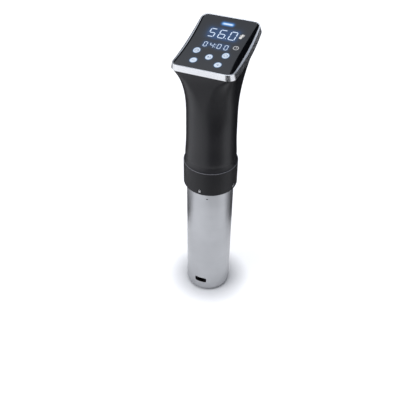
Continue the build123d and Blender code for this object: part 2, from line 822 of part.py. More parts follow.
# Rear shell: the other half, with screw wells and a flat boss for the cable gland
gland_z = grip_z + gland_rise
gland_seat = body_rear(gland_z + gland_boss_diameter / 2) + gland_boss_proud
with BuildPart() as rear_shell:
    loft(sections=body_sections(0, 0))
    add(shell_bevel.part)
    with Locations((0, 0, gland_z)):
        Cylinder(gland_boss_diameter / 2, gland_seat, rotation=(-90, 0, 0),
                 align=(Align.CENTER, Align.CENTER, Align.MIN))
    add(shell_cavity.part, mode=Mode.SUBTRACT)
    add(panel_hollow(bezel_height + seam_gap), mode=Mode.SUBTRACT)
    split(bisect_by=Plane.XZ, keep=Keep.BOTTOM)
    with Locations(*post_spots):
        Cylinder(shell_screw_diameter / 2 + seat_fit, shell_screw_seat, rotation=(-90, 0, 0),
                 align=(Align.CENTER, Align.CENTER, Align.MIN), mode=Mode.SUBTRACT)
    with Locations(*[(x, shell_screw_seat, z) for x, _, z in post_spots]):
        Cylinder(shell_screw_head_diameter / 2 + seam_gap, panel_length, rotation=(-90, 0, 0),
                 align=(Align.CENTER, Align.CENTER, Align.MIN), mode=Mode.SUBTRACT)
    with Locations((0, 0, gland_z)):
        Cylinder(gland_body_diameter / 2 + seat_fit, panel_length, rotation=(-90, 0, 0),
                 align=(Align.CENTER, Align.CENTER, Align.MIN), mode=Mode.SUBTRACT)
finish("rear_shell", rear_shell)

with BuildPart() as shell_screws:
    with Locations(*[(x, shell_screw_seat, z) for x, _, z in post_spots]):
        Cylinder(shell_screw_head_diameter / 2, shell_screw_head_height, rotation=(-90, 0, 0),
                 align=(Align.CENTER, Align.CENTER, Align.MIN))
        Cylinder(shell_screw_diameter / 2, shell_screw_seat + shell_screw_reach, rotation=(-90, 0, 0),
                 align=(Align.CENTER, Align.CENTER, Align.MAX))
finish("shell_screws", shell_screws)

# Bezel: a plated ring that follows the panel's curve, wider at its foot, with a ledge for the glass
seat_depth = glass_recess + glass_thickness + panel_gasket_thickness
bezel_inset = bezel_lip + bezel_ledge
opening_half = panel_width / 2 - bezel_inset
with BuildPart() as bezel:
    for rise in (bezel_lip, -panel_sag - bezel_height - bezel_lip):
        with BuildSketch(panel_plane.offset(rise)):
            RectangleRounded(panel_width - 2 * rise * draft, panel_length - 2 * rise * draft,
                             panel_corner - rise * draft)
    loft(ruled=True)
    add(panel_band(0, bezel_height), mode=Mode.INTERSECT)
    add(panel_prism(bezel_lip) & panel_hollow(seat_depth), mode=Mode.SUBTRACT)
    add(panel_prism(bezel_inset), mode=Mode.SUBTRACT)
    with Locations(panel_plane.offset(-panel_sag - bezel_height - tab_drop)):
        with GridLocations(2 * opening_half, 0, 2, 1):
            Box(tab_thickness, tab_length, tab_drop + bezel_height / 2,
                align=(Align.CENTER, Align.CENTER, Align.MIN))
finish("bezel", bezel)

# Touch panel: one sheet of glass bent to the lip's curve
with BuildPart() as touch_panel:
    add(panel_prism(bezel_lip + running_fit))
    add(panel_band(glass_recess, glass_recess + glass_thickness), mode=Mode.INTERSECT)
finish("touch_panel", touch_panel)

with BuildPart() as panel_gasket:
    add(panel_prism(bezel_lip + running_fit))
    add(panel_band(glass_recess + glass_thickness, seat_depth), mode=Mode.INTERSECT)
    add(panel_prism(bezel_inset), mode=Mode.SUBTRACT)
finish("panel_gasket", panel_gasket)

# Control board, flat and parallel to the panel's chord, with the display standing on it
glass_low = glass_recess + glass_thickness
status_y = panel_length / 2 - status_margin
status_foot_y = display_y + display_length / 2 + status_gap + status_depth / 2
display_top = panel_sag + glass_low + guide_gap
board_top = display_top + display_height
board_low = board_top + board_thickness
tray_spots = [
    (-tray_screw_x, tray_screw_front_y),
    (tray_screw_x, tray_screw_front_y),
    (-tray_screw_x, tray_screw_rear_y),
]
with BuildPart() as control_board:
    with BuildSketch(panel_plane.offset(-board_low)):
        with Locations((0, (board_rear - board_front) / 2)):
            RectangleRounded(board_width, board_rear + board_front, board_corner)
        with Locations(*tray_spots):
            Circle(board_screw_diameter / 2 + seat_fit, mode=Mode.SUBTRACT)
    extrude(amount=board_thickness)
finish("control_board", control_board)

with BuildPart() as display_module:
    with BuildSketch(panel_plane.offset(-board_top)):
        with Locations((display_x, display_y)):
            RectangleRounded(display_width, display_length, board_thickness)
    extrude(amount=display_height)
finish("display_module", display_module)

# Light guides: five round ones under the keys, and a bar that leans from its foot beside the display to the
# status light
key_spots = [
    (-upper_key_x, upper_key_y),
    (upper_key_x, upper_key_y),
    (0, middle_key_y),
    (-lower_key_x, lower_key_y),
    (lower_key_x, lower_key_y),
]
with BuildPart() as key_light_guides:
    with BuildSketch(panel_plane.offset(-board_top)):
        with Locations(*key_spots):
            Circle(key_diameter / 2)
    extrude(amount=board_top)
    add(panel_hollow(glass_low + guide_gap), mode=Mode.SUBTRACT)
finish("key_light_guides", key_light_guides)

with BuildPart() as status_light_guide:
    with BuildSketch(panel_side):
        with BuildLine():
            Polyline(
                (status_foot_y - status_depth / 2, -board_top),
                (status_foot_y + status_depth / 2, -board_top),
                (status_y + status_depth / 2, 0),
                (status_y - status_depth / 2, 0),
                close=True,
            )
        make_face()
    extrude(amount=status_width / 2, both=True)
    add(panel_hollow(glass_low + guide_gap), mode=Mode.SUBTRACT)
finish("status_light_guide", status_light_guide)

with BuildPart() as buzzer:
    with BuildSketch(panel_plane.offset(-board_low)):
        with Locations((buzzer_x, buzzer_y)):
            Circle(buzzer_diameter / 2)
            Circle(buzzer_diameter / 8, mode=Mode.SUBTRACT)
    extrude(amount=-buzzer_height)
finish("buzzer", buzzer)

# Chassis: a foot on the motor, a wall for the power board and a tray for the control board
tray_top = board_low + tray_drop
tray_low = tray_top + tray_thickness
wall_top = panel_middle.Z - (tray_low - tray_thickness / 2) / cos(tilt) - panel_middle.Y * tan(tilt)
power_low = chassis_top + power_board_rise
power_middle = power_low + power_board_height / 2
power_grid = (chassis_width - 2 * power_screw_inset, power_board_height - 2 * power_screw_inset)
with BuildPart() as chassis:
    with BuildSketch(Plane.XY.offset(cap_top)):
        Circle(chassis_foot_diameter / 2)
        Circle(chassis_foot_bore / 2, mode=Mode.SUBTRACT)
    extrude(amount=chassis_foot_thickness)
    with Locations((0, chassis_foot_bore / 2, cap_top)):
        Box(chassis_width, chassis_wall, wall_top + chassis_foot_bore / 2 * tan(tilt) - cap_top,
            align=(Align.CENTER, Align.MIN, Align.MIN))
    with BuildSketch(panel_plane.offset(-tray_low)):
        with Locations((0, (tray_rear - tray_front) / 2)):
            RectangleRounded(tray_width, tray_rear + tray_front, tray_corner)
    extrude(amount=tray_thickness)
    with BuildSketch(panel_plane.offset(-tray_top)):
        with Locations(*tray_spots):
            Circle(standoff_diameter / 2)
    extrude(amount=tray_drop)
    with BuildSketch(Plane.XZ.offset(-chassis_foot_bore / 2)):
        with Locations((0, power_middle)):
            with GridLocations(*power_grid, 2, 2):
                Circle(standoff_diameter / 2)
    extrude(amount=standoff_length)
    with Locations(panel_plane.offset(-board_low)):
        with Locations(*tray_spots):
            Hole(board_screw_diameter / 2 + seat_fit, board_screw_depth)
    with BuildSketch(Plane.XZ.offset(standoff_length - chassis_foot_bore / 2)):
        with Locations((0, power_middle)):
            with GridLocations(*power_grid, 2, 2):
                Circle(board_screw_diameter / 2 + seat_fit)
    extrude(amount=-board_screw_depth, mode=Mode.SUBTRACT)
finish("chassis", chassis)

# Power board on the wall's standoffs, with its parts facing the front
power_back = chassis_foot_bore / 2 - standoff_length
power_face = power_back - board_thickness
with BuildPart() as power_board:
    with BuildSketch(Plane.XZ.offset(-power_back)):
        with Locations((0, power_middle)):
            Rectangle(chassis_width, power_board_height)
            with GridLocations(*power_grid, 2, 2):
                Circle(board_screw_diameter / 2 + seat_fit, mode=Mode.SUBTRACT)
    extrude(amount=board_thickness)
finish("power_board", power_board)

with BuildPart() as transformer:
    with Locations((transformer_x, power_face, power_low + transformer_rise)):
        Box(transformer_width, transformer_depth, transformer_height,
            align=(Align.CENTER, Align.MAX, Align.CENTER))
        Box(winding_width, transformer_depth - board_thickness, winding_height,
            align=(Align.CENTER, Align.MAX, Align.CENTER))
finish("transformer", transformer)

with BuildPart() as filter_capacitor:
    with Locations((capacitor_x, power_face, power_low + capacitor_rise)):
        Cylinder(capacitor_diameter / 2, capacitor_height, rotation=(90, 0, 0),
                 align=(Align.CENTER, Align.CENTER, Align.MIN))
    fillet(filter_capacitor.edges().sort_by(Axis.Y)[0], board_thickness / 2)
finish("filter_capacitor", filter_capacitor)

with BuildPart() as relay:
    with Locations((relay_x, power_face, power_low + relay_rise)):
        Box(relay_width, relay_depth, relay_height, align=(Align.CENTER, Align.MAX, Align.CENTER))
    fillet(relay.edges().filter_by(Axis.Y), board_thickness / 2)
finish("relay", relay)

# Heat sink on the back of the chassis wall
sink_face = chassis_foot_bore / 2 + chassis_wall
with BuildPart() as heat_sink:
    with Locations((0, sink_face, power_low + sink_rise)):
        Box(sink_width, sink_base, sink_height, align=(Align.CENTER, Align.MIN, Align.CENTER))
        with GridLocations((sink_width - sink_fin) / (sink_fins - 1), 0, sink_fins, 1):
            Box(sink_fin, sink_depth, sink_height, align=(Align.CENTER, Align.MIN, Align.CENTER))
finish("heat_sink", heat_sink)

with BuildPart() as board_screws:
    with Locations(panel_plane.offset(-board_top)):
        with Locations(*tray_spots):
            Cylinder(board_screw_head_diameter / 2, board_screw_head_height,
                     align=(Align.CENTER, Align.CENTER, Align.MIN))
            Cylinder(board_screw_diameter / 2, board_thickness + board_screw_depth - seat_fit,
                     align=(Align.CENTER, Align.CENTER, Align.MAX))
    with Locations(Plane.XZ.offset(-power_face)):
        with Locations((0, power_middle)):
            with GridLocations(*power_grid, 2, 2):
                Cylinder(board_screw_head_diameter / 2, board_screw_head_height,
                         align=(Align.CENTER, Align.CENTER, Align.MIN))
                Cylinder(board_screw_diameter / 2, board_thickness + board_screw_depth - seat_fit,
                         align=(Align.CENTER, Align.CENTER, Align.MAX))
finish("board_screws", board_screws)

# Cable gland through the rear shell, with its nut against the wall inside
nut_half = gland_nut_diameter / 2
nut_face = body_rear(gland_z - nut_half) - shell_wall - nut_half**2 / waist_radius / 2 - seam_gap
gland_inner = nut_face - 2 * gland_nut_thickness
with BuildPart() as cable_gland:
    with Locations((0, gland_seat, gland_z)):
        Cylinder(gland_flange_diameter / 2, gland_flange_thickness, rotation=(-90, 0, 0),
                 align=(Align.CENTER, Align.CENTER, Align.MIN))
        fillet(cable_gland.edges().sort_by(Axis.Y)[-1], gland_edge_radius)
        Cylinder(gland_body_diameter / 2, gland_seat - gland_inner, rotation=(-90, 0, 0),
                 align=(Align.CENTER, Align.CENTER, Align.MAX))
        Cylinder(gland_bore / 2, panel_length, rotation=(-90, 0, 0), mode=Mode.SUBTRACT)
finish("cable_gland", cable_gland)

with BuildPart() as gland_nut:
    with BuildSketch(Plane.XZ.offset(-nut_face)):
        with Locations((0, gland_z)):
            RegularPolygon(nut_half, 6)
            Circle(gland_body_diameter / 2 + seat_fit, mode=Mode.SUBTRACT)
    extrude(amount=gland_nut_thickness)
finish("gland_nut", gland_nut)

# Clamp bracket: a plate on the collar's back with two ears for the pin
pin_y = collar_radius + clamp_pin_setback
pin_z = bracket_z
plate_face = collar_radius + bracket_plate
ear_inner = clamp_width / 2 + hinge_gap
ear_outer = ear_inner + ear_thickness
with BuildPart() as clamp_bracket:
    with Locations((0, plate_face, pin_z)):
        Box(2 * ear_outer, collar_overhang + bracket_plate, bracket_height,
            align=(Align.CENTER, Align.MAX, Align.CENTER))
    with BuildSketch(Plane.YZ.offset(ear_inner)):
        with Locations((plate_face - bracket_plate / 2, pin_z)):
            Rectangle(bracket_plate, bracket_height)
        with Locations((pin_y, pin_z)):
            Circle(knuckle_radius)
        make_hull()
    extrude(amount=ear_thickness)
    ear_outline = clamp_bracket.faces().sort_by(Axis.X)[-1].edges()
    fillet(ear_outline.filter_by(lambda edge: edge.center().Y > plate_face), clamp_edge_radius)
    mirror(about=Plane.YZ)
    with BuildSketch(Plane.XY.offset(pin_z - bracket_height)):
        Circle(collar_radius + seat_fit)
    extrude(amount=2 * bracket_height, mode=Mode.SUBTRACT)
    with BuildSketch(Plane.YZ):
        with Locations((pin_y, pin_z)):
            Circle(clamp_pin_diameter / 2 + seat_fit)
    extrude(amount=clamp_width, both=True, mode=Mode.SUBTRACT)
    with BuildSketch(Plane.XZ.offset(-plate_face)):
        with Locations((0, pin_z)):
            with GridLocations(0, bracket_screw_spread, 1, 2):
                Circle(bracket_screw_diameter / 2 + seat_fit)
    extrude(amount=bracket_plate + collar_overhang, mode=Mode.SUBTRACT)
finish("clamp_bracket", clamp_bracket)

with BuildPart() as bracket_screws:
    with Locations(Plane.XZ.offset(-plate_face)):
        with Locations((0, pin_z)):
            with GridLocations(0, bracket_screw_spread, 1, 2):
                Cylinder(bracket_screw_head_diameter / 2, bracket_screw_head_height,
                         align=(Align.CENTER, Align.CENTER, Align.MAX))
                Cylinder(bracket_screw_diameter / 2, bracket_plate + collar_wall - hinge_gap,
                         align=(Align.CENTER, Align.CENTER, Align.MIN))
finish("bracket_screws", bracket_screws)

with BuildPart() as clamp_pin:
    with BuildSketch(Plane.YZ):
        with Locations((pin_y, pin_z)):
            Circle(clamp_pin_diameter / 2)
    extrude(amount=ear_outer, both=True)
finish("clamp_pin", clamp_pin)

# Clamp lever: a jaw arm below the pin and a ribbed thumb paddle above it
arm_inner = sleeve_radius + arm_gap
arm_outer = arm_inner + arm_thickness
jaw_low = pin_z - jaw_drop
jaw_bend = jaw_low + jaw_slope + pad_height / 2
pad_back = sleeve_radius + pad_gap + pad_thickness
paddle_inner = pin_y + spring_mean_radius + spring_wire / 2 + seat_fit
paddle_top = pin_z + paddle_rise
with BuildPart() as clamp_lever:
    with BuildSketch(Plane.YZ) as lever_profile:
        with BuildLine():
            Polyline(
                (arm_inner, pin_z),
                (arm_inner, jaw_bend),
                (pad_back, jaw_low + pad_height),
                (pad_back, jaw_low),
                (pad_back + arm_thickness, jaw_low),
                (arm_outer, jaw_bend - arm_thickness / 2),
                (arm_outer, pin_z - knuckle_radius),
                (paddle_inner + paddle_thickness, pin_z - knuckle_radius / 2),
                (paddle_inner + paddle_thickness, pin_z + knuckle_radius),
                (paddle_inner + paddle_thickness + paddle_lean, paddle_top),
                (paddle_inner + paddle_lean, paddle_top),
                (paddle_inner, pin_z + knuckle_radius),
                (pin_y, pin_z + knuckle_radius),
                close=True,
            )
        make_face()
        by_height = lever_profile.vertices().group_by(Axis.Y)
        fillet(by_height[0].sort_by(Axis.X)[-1], jaw_tip_radius)
        fillet(by_height[-1], paddle_tip_radius)
        for bend in ((arm_inner, jaw_bend, 0), (arm_outer, jaw_bend - arm_thickness / 2, 0)):
            fillet(lever_profile.vertices().sort_by_distance(bend)[0], jaw_bend_radius)
        with Locations((pin_y, pin_z)):
            Circle(knuckle_radius)
    extrude(amount=clamp_width / 2, both=True)
    fillet(clamp_lever.faces().filter_by(Axis.X).edges(), clamp_edge_radius)
    with Locations((0, arm_outer, pin_z)):
        Box(spring_window, 2 * (arm_outer - plate_face), 2 * (knuckle_radius + hinge_gap),
            align=(Align.CENTER, Align.CENTER, Align.CENTER), mode=Mode.SUBTRACT)
    with Locations((0, paddle_inner, pin_z)):
        Box(spring_window, 2 * paddle_thickness, 2 * (knuckle_radius + hinge_gap), mode=Mode.SUBTRACT)
    with BuildSketch(Plane.YZ):
        with Locations((pin_y, pin_z)):
            Circle(clamp_pin_diameter / 2 + running_fit)
    extrude(amount=clamp_width, both=True, mode=Mode.SUBTRACT)
    groove_spots = [
        (0, paddle_inner + paddle_thickness + paddle_lean, paddle_top - (row + 1) * paddle_groove_pitch)
        for row in range(paddle_groove_count)
    ]
    with Locations(*groove_spots):
        Cylinder(paddle_groove_radius, 2 * clamp_width, rotation=(0, 90, 0), mode=Mode.SUBTRACT)
finish("clamp_lever", clamp_lever)

# Rubber pad on the jaw
with BuildPart() as jaw_pad:
    with Locations((0, pad_back, jaw_low)):
        Box(clamp_width - 2 * hinge_gap, pad_thickness, pad_height,
            align=(Align.CENTER, Align.MAX, Align.MIN))
    fillet(jaw_pad.edges().filter_by(Axis.Z).group_by(Axis.Y)[0], pad_gap)
finish("jaw_pad", jaw_pad)


def spring_point(angle):
    """A point of the clamp spring's helix, which winds along X about the pin."""
    turn = radians(angle)
    along = spring_pitch * (angle - (spring_start + spring_end) / 2) / 360
    return Vector(along, pin_y + spring_mean_radius * cos(turn), pin_z + spring_mean_radius * sin(turn))


def spring_heading(angle):
    """The helix's direction at an angle."""
    turn = radians(angle)
    rate = spring_pitch / (2 * pi)
    return Vector(rate, -spring_mean_radius * sin(turn), spring_mean_radius * cos(turn)).normalized()


def biarc_joint(start, start_heading, end, end_heading):
    """The point where two equal-tangent arcs meet between two points with given headings."""
    chord = end - start
    both = start_heading + end_heading
    square = 2 * (1 - start_heading.dot(end_heading))
    half = chord.dot(both)
    reach = (-half + sqrt(half**2 + square * chord.dot(chord))) / square
    return (start + start_heading * reach + end - end_heading * reach) / 2


# Clamp spring: a torsion spring whose legs press on the bracket's plate and on the paddle
quarter_turns = round((spring_end - spring_start) / 90)
quarter = (spring_end - spring_start) / quarter_turns
spring_angles = [spring_start + step * quarter for step in range(quarter_turns + 1)]
with BuildPart() as clamp_spring:
    with BuildLine() as spring_path:
        leg_start = spring_point(spring_start) - spring_heading(spring_start) * fixed_leg
        Line(leg_start, spring_point(spring_start))
        for low, high in zip(spring_angles[:-1], spring_angles[1:]):
            first, last = spring_point(low), spring_point(high)
            joint = biarc_joint(first, spring_heading(low), last, spring_heading(high))
            lead = TangentArc(first, joint, tangent=spring_heading(low))
            TangentArc(joint, last, tangent=lead % 1)
        Line(spring_point(spring_end), spring_point(spring_end) + spring_heading(spring_end) * moving_leg)
    with BuildSketch(Plane(origin=leg_start, z_dir=spring_heading(spring_start))):
        Circle(spring_wire / 2)
    sweep()
finish("clamp_spring", clamp_spring)

# The spring's least gap to itself, on points a few degrees apart
near_angle = 180
step_angle = 6
wind = [spring_point(angle) for angle in range(round(spring_start), round(spring_end), step_angle)]
skip = near_angle // step_angle
gaps = [
    (wind[i] - wind[j]).length - spring_wire
    for i in range(len(wind))
    for j in range(i + skip, len(wind))
]
print(f"clamp spring: {quarter_turns} quarter turns, least gap to itself {min(gaps):.2f} mm")
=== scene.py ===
import math

import bpy
import numpy as np
from mathutils import Matrix


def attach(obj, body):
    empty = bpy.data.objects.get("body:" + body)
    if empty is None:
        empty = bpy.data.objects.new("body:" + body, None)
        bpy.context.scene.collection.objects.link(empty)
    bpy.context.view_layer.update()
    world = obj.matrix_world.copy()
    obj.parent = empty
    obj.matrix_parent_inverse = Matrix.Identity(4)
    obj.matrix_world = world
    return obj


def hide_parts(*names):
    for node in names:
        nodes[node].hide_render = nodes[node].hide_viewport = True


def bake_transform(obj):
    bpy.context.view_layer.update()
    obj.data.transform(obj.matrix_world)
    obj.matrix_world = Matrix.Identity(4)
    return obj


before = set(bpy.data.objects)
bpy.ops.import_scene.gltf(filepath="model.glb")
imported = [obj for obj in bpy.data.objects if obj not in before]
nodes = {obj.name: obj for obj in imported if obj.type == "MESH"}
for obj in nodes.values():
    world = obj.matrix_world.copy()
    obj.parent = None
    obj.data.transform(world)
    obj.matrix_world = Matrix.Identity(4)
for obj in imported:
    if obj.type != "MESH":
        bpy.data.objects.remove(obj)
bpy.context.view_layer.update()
scene = bpy.context.scene
scene.view_settings.view_transform = "Standard"

# Sizes of the part are millimetres, as in its source, and MM turns them to metres. The stage is in metres.
MM = 0.001
across_axis = np.array((1.0, 0.0, 0.0))
up_axis = np.array((0.0, 0.0, 1.0))

# The touch panel's frame: its middle is on the lip's chord, and it leans forwards by the tilt.
tilt = math.radians(12.2)
panel_normal = np.array((0.0, -math.sin(tilt), math.cos(tilt)))
panel_along = np.array((0.0, math.cos(tilt), math.sin(tilt)))
bezel_height = 7.3
bezel_foot = np.array((0.0, 11.4, 346.0))
panel_middle = bezel_foot + bezel_height * panel_normal
panel_width, panel_length, panel_corner = 69.0, 93.6, 8.0
lip_arc = 207.0
arc_centre = math.sqrt(lip_arc**2 - (panel_length / 2) ** 2)
bezel_draft = math.tan(math.radians(13.0))
bezel_lip, bezel_ledge = 1.1, 2.6
glass_recess, glass_seat = 0.3, 2.6
glass_half = panel_width / 2 - bezel_lip
collar_radius, sleeve_radius = 33.0, 29.0


def on_panel(across, along, depth):
    """Panel places in the row frame: across and along lie in the lip's chord plane, and the height above it
    follows an arc of radius lip_arc plus depth about an axis arc_centre above the chord."""
    height = arc_centre - np.sqrt((lip_arc + depth) ** 2 - along**2)
    flat = panel_middle + across[..., None] * across_axis + along[..., None] * panel_along
    return MM * (flat + height[..., None] * panel_normal)


# Colours and nodes

# Most values of a noise lie in the wide range, and those of a smooth one in the narrow range.
wide_noise, narrow_noise = (0.3, 0.7), (0.35, 0.65)


def linear(hex_colour):
    """An sRGB hex colour as linear red, green, blue and alpha 1."""
    parts = np.array([int(hex_colour[i:i + 2], 16) for i in (1, 3, 5)]) / 255
    values = np.where(parts <= 0.04045, parts / 12.92, ((parts + 0.055) / 1.055) ** 2.4)
    return (*values.tolist(), 1.0)


def add(tree, kind, inputs=None, stops=(), **settings):
    """Adds one node: settings are its own properties, inputs its sockets, each a value or another node's
    output, and stops the places and hex colours of a colour ramp, from the lowest up."""
    made = tree.nodes.new(kind)
    for key, value in settings.items():
        setattr(made, key, value)
    for key, value in (inputs or {}).items():
        if isinstance(value, bpy.types.NodeSocket):
            tree.links.new(value, made.inputs[key])
        else:
            made.inputs[key].default_value = value
    for rank, (position, colour) in enumerate(stops):
        elements = made.color_ramp.elements
        element = elements[rank] if rank < len(elements) else elements.new(position)
        element.position = position
        element.color = linear(colour)
    return made


def new_material(name):
    """An empty node material with its tree, its shader and its object coordinates."""
    material = bpy.data.materials.new(name)
    material.use_nodes = True
    tree = material.node_tree
    shader = tree.nodes["Principled BSDF"]
    coordinates = add(tree, "ShaderNodeTexCoord").outputs["Object"]
    return material, tree, shader, coordinates


def finish(name, colours, roughness, grain, patch, bump, stretch=(1, 1, 1), metallic=0.0, ior=1.5):
    """A finish with two scales: a patchy drift of colour over patch millimetres, and a grain of grain
    millimetres that roughens and lifts the surface by bump. stretch draws the grain out along an axis."""
    material, tree, shader, coordinates = new_material(name)
    drift = add(tree, "ShaderNodeTexNoise",
                {"Vector": coordinates, "Scale": 1 / (patch * MM), "Detail": 3.0})
    drawn = add(tree, "ShaderNodeMapping", {"Vector": coordinates, "Scale": stretch})
    fine = add(tree, "ShaderNodeTexNoise",
               {"Vector": drawn.outputs["Vector"], "Scale": 1 / (grain * MM), "Detail": 2.0})
    colour = add(tree, "ShaderNodeValToRGB", {"Fac": drift.outputs["Fac"]},
                 stops=tuple(zip(narrow_noise, colours)))
    tree.links.new(colour.outputs["Color"], shader.inputs["Base Color"])
    level = add(tree, "ShaderNodeMapRange",
                {"Value": fine.outputs["Fac"], "From Min": wide_noise[0], "From Max": wide_noise[1],
                 "To Min": roughness[0], "To Max": roughness[1]})
    tree.links.new(level.outputs["Result"], shader.inputs["Roughness"])
    lift = add(tree, "ShaderNodeBump",
               {"Height": fine.outputs["Fac"], "Strength": 1.0, "Distance": bump * MM})
    tree.links.new(lift.outputs["Normal"], shader.inputs["Normal"])
    shader.inputs["Metallic"].default_value = metallic
    if not metallic:
        shader.inputs["IOR"].default_value = ior
    return material


# Camera, light and floor


def placed(right, up, back, origin):
    """A matrix with the given axes, at origin."""
    return Matrix([[*row] for row in np.column_stack((right, up, back, origin))] + [[0, 0, 0, 1]])


def place_camera():
    """The camera stands at an azimuth and elevation about a point beside the stick, and rolls a little about
    its line of sight. Returns its place."""
    azimuth, elevation, roll = math.radians(22.045), math.radians(40.484), math.radians(0.609)
    distance, aside, aim_height = 767.858, -12.596, 140.754
    back = np.array((math.sin(azimuth) * math.cos(elevation),
                     -math.cos(azimuth) * math.cos(elevation), math.sin(elevation)))
    level = np.array((math.cos(azimuth), math.sin(azimuth), 0.0))
    upright = np.cross(back, level)
    right = math.cos(roll) * level + math.sin(roll) * upright
    up = math.cos(roll) * upright - math.sin(roll) * level
    place = MM * (aside * level + aim_height * up_axis + distance * back)
    data = bpy.data.cameras.new("photo_camera")
    data.sensor_width, data.lens = 36.0, 54.0
    data.clip_start, data.clip_end = 0.01, 50.0
    camera = bpy.data.objects.new("photo_camera", data)
    scene.collection.objects.link(camera)
    camera.matrix_world = placed(right, up, back, place)
    scene.camera = camera
    return place


def softbox(name, centre, aim, size, power, spin=0.0):
    """A rectangular area lamp at centre that faces aim, turned about its own axis by spin."""
    data = bpy.data.lights.new(name, "AREA")
    data.shape = "RECTANGLE"
    data.size, data.size_y = size
    data.energy = power
    data.color = linear(cool_white)[:3]
    lamp = bpy.data.objects.new(name, data)
    lamp.visible_camera = False
    scene.collection.objects.link(lamp)
    away = np.array(centre) - np.array(aim)
    away = away / np.linalg.norm(away)
    side = np.cross((0.0, 1.0, 0.0), away)
    side = side / np.linalg.norm(side)
    turned = math.cos(spin) * side + math.sin(spin) * np.cross(away, side)
    lamp.matrix_world = placed(turned, np.cross(away, turned), away, centre)


def seen_directly(tree):
    """1 for rays that come from the camera, a mirror or a clear piece, and 0 for the light's own bounces."""
    path = add(tree, "ShaderNodeLightPath")
    first = add(tree, "ShaderNodeMath",
                {0: path.outputs["Is Camera Ray"], 1: path.outputs["Is Glossy Ray"]}, operation="MAXIMUM")
    both = add(tree, "ShaderNodeMath",
               {0: first.outputs["Value"], 1: path.outputs["Is Transmission Ray"]}, operation="MAXIMUM")
    return both.outputs["Value"]


def lay_floor():
    """A wide white sheet, lifted to white where it is looked at, but for the shade under the foot. The lift
    grows from the foot's edge to the shade's end, and a little with every metre beyond."""
    half, foot_edge, shade_end, lift_per_metre = 4.0, 0.028, 0.06, 0.3
    corners = [(-half, -half, 0), (half, -half, 0), (half, half, 0), (-half, half, 0)]
    mesh = bpy.data.meshes.new("white_floor")
    mesh.from_pydata(corners, [], [(0, 1, 2, 3)])
    floor = bpy.data.objects.new("white_floor", mesh)
    scene.collection.objects.link(floor)
    # Matt background paper: white, without a gloss.
    paper = finish("background_paper_white", ("#f4f4f4", "#f8f8f8"), roughness=(0.8, 0.9),
                   grain=4.0, patch=300.0, bump=0.01)
    tree = paper.node_tree
    place = add(tree, "ShaderNodeTexCoord").outputs["Object"]
    reach = add(tree, "ShaderNodeVectorMath", {0: place}, operation="LENGTH").outputs["Value"]
    rise = add(tree, "ShaderNodeMapRange",
               {"Value": reach, "From Min": foot_edge, "From Max": shade_end,
                "To Min": 0.0, "To Max": floor_lift})
    far = add(tree, "ShaderNodeMath",
              {0: reach, 1: lift_per_metre, 2: rise.outputs["Result"]}, operation="MULTIPLY_ADD")
    lift = add(tree, "ShaderNodeMath",
               {0: seen_directly(tree), 1: far.outputs["Value"]}, operation="MULTIPLY")
    shader = tree.nodes["Principled BSDF"]
    shader.inputs["Emission Color"].default_value = linear(cool_white)
    tree.links.new(lift.outputs["Value"], shader.inputs["Emission Strength"])
    mesh.materials.append(paper)


def hang_sky():
    """An even sky: full where the camera looks at it, dim as a light, and in mirrors brighter towards the
    zenith, by the upward share of the direction."""
    low_share, high_share, low_strength, high_strength = 0.45, 0.92, 0.42, 0.9
    world = bpy.data.worlds.new("studio")
    world.use_nodes = True
    scene.world = world
    tree = world.node_tree
    sky = tree.nodes["Background"]
    sky.inputs["Color"].default_value = linear(cool_sky)
    direction = add(tree, "ShaderNodeTexCoord").outputs["Generated"]
    heading = add(tree, "ShaderNodeSeparateXYZ", {"Vector": direction})
    mirrored = add(tree, "ShaderNodeMapRange",
                   {"Value": heading.outputs["Z"], "From Min": low_share, "From Max": high_share,
                    "To Min": low_strength, "To Max": high_strength})
    level = add(tree, "ShaderNodeMapRange",
                {"Value": seen_directly(tree), "To Min": sky_light, "To Max": mirrored.outputs["Result"]})
    looked_at = add(tree, "ShaderNodeLightPath").outputs["Is Camera Ray"]
    strength = add(tree, "ShaderNodeMath", {0: level.outputs["Result"], 1: looked_at}, operation="MAXIMUM")
    tree.links.new(strength.outputs["Value"], sky.inputs["Strength"])


def dark_card(name, corners):
    """A flat card with the given corners that only mirror-like surfaces see, so it darkens what they show."""
    mesh = bpy.data.meshes.new(name)
    mesh.from_pydata([tuple(corner) for corner in corners], [], [tuple(range(len(corners)))])
    card = bpy.data.objects.new(name, mesh)
    scene.collection.objects.link(card)
    card.visible_camera = card.visible_diffuse = card.visible_shadow = card.visible_transmission = False
    mesh.materials.append(card_velvet)


def ring_sector(radii, bearings, height):
    """A piece of a flat ring at a height, between two distances from the stick and two bearings, which count
    from the front to the right."""
    steps = 9
    turn = np.radians(np.linspace(*bearings, steps))
    near, far = [radius * np.stack((np.sin(turn), -np.cos(turn)), axis=1) for radius in radii]
    edge = np.concatenate((far, near[::-1]))
    return np.column_stack((edge, np.full(len(edge), height)))


def mirrored_line(across, height):
    """Where the plane at a height shows in the panel along one line of it: each point's line of sight is
    turned about the normal there, which points to the arc's axis, and followed up to the plane."""
    end_share, count = 0.6, 15
    along = np.linspace(-end_share, end_share, count) * panel_length
    radius = lip_arc + glass_recess
    spots = on_panel(np.full_like(along, across), along, glass_recess)
    to_axis = np.sqrt(radius**2 - along**2)
    normals = (to_axis[:, None] * panel_normal - along[:, None] * panel_along) / radius
    sight = eye - spots
    sight /= np.linalg.norm(sight, axis=1, keepdims=True)
    onward = 2 * (normals * sight).sum(axis=1, keepdims=True) * normals - sight
    return spots + (height - spots[:, 2:]) / onward[:, 2:] * onward


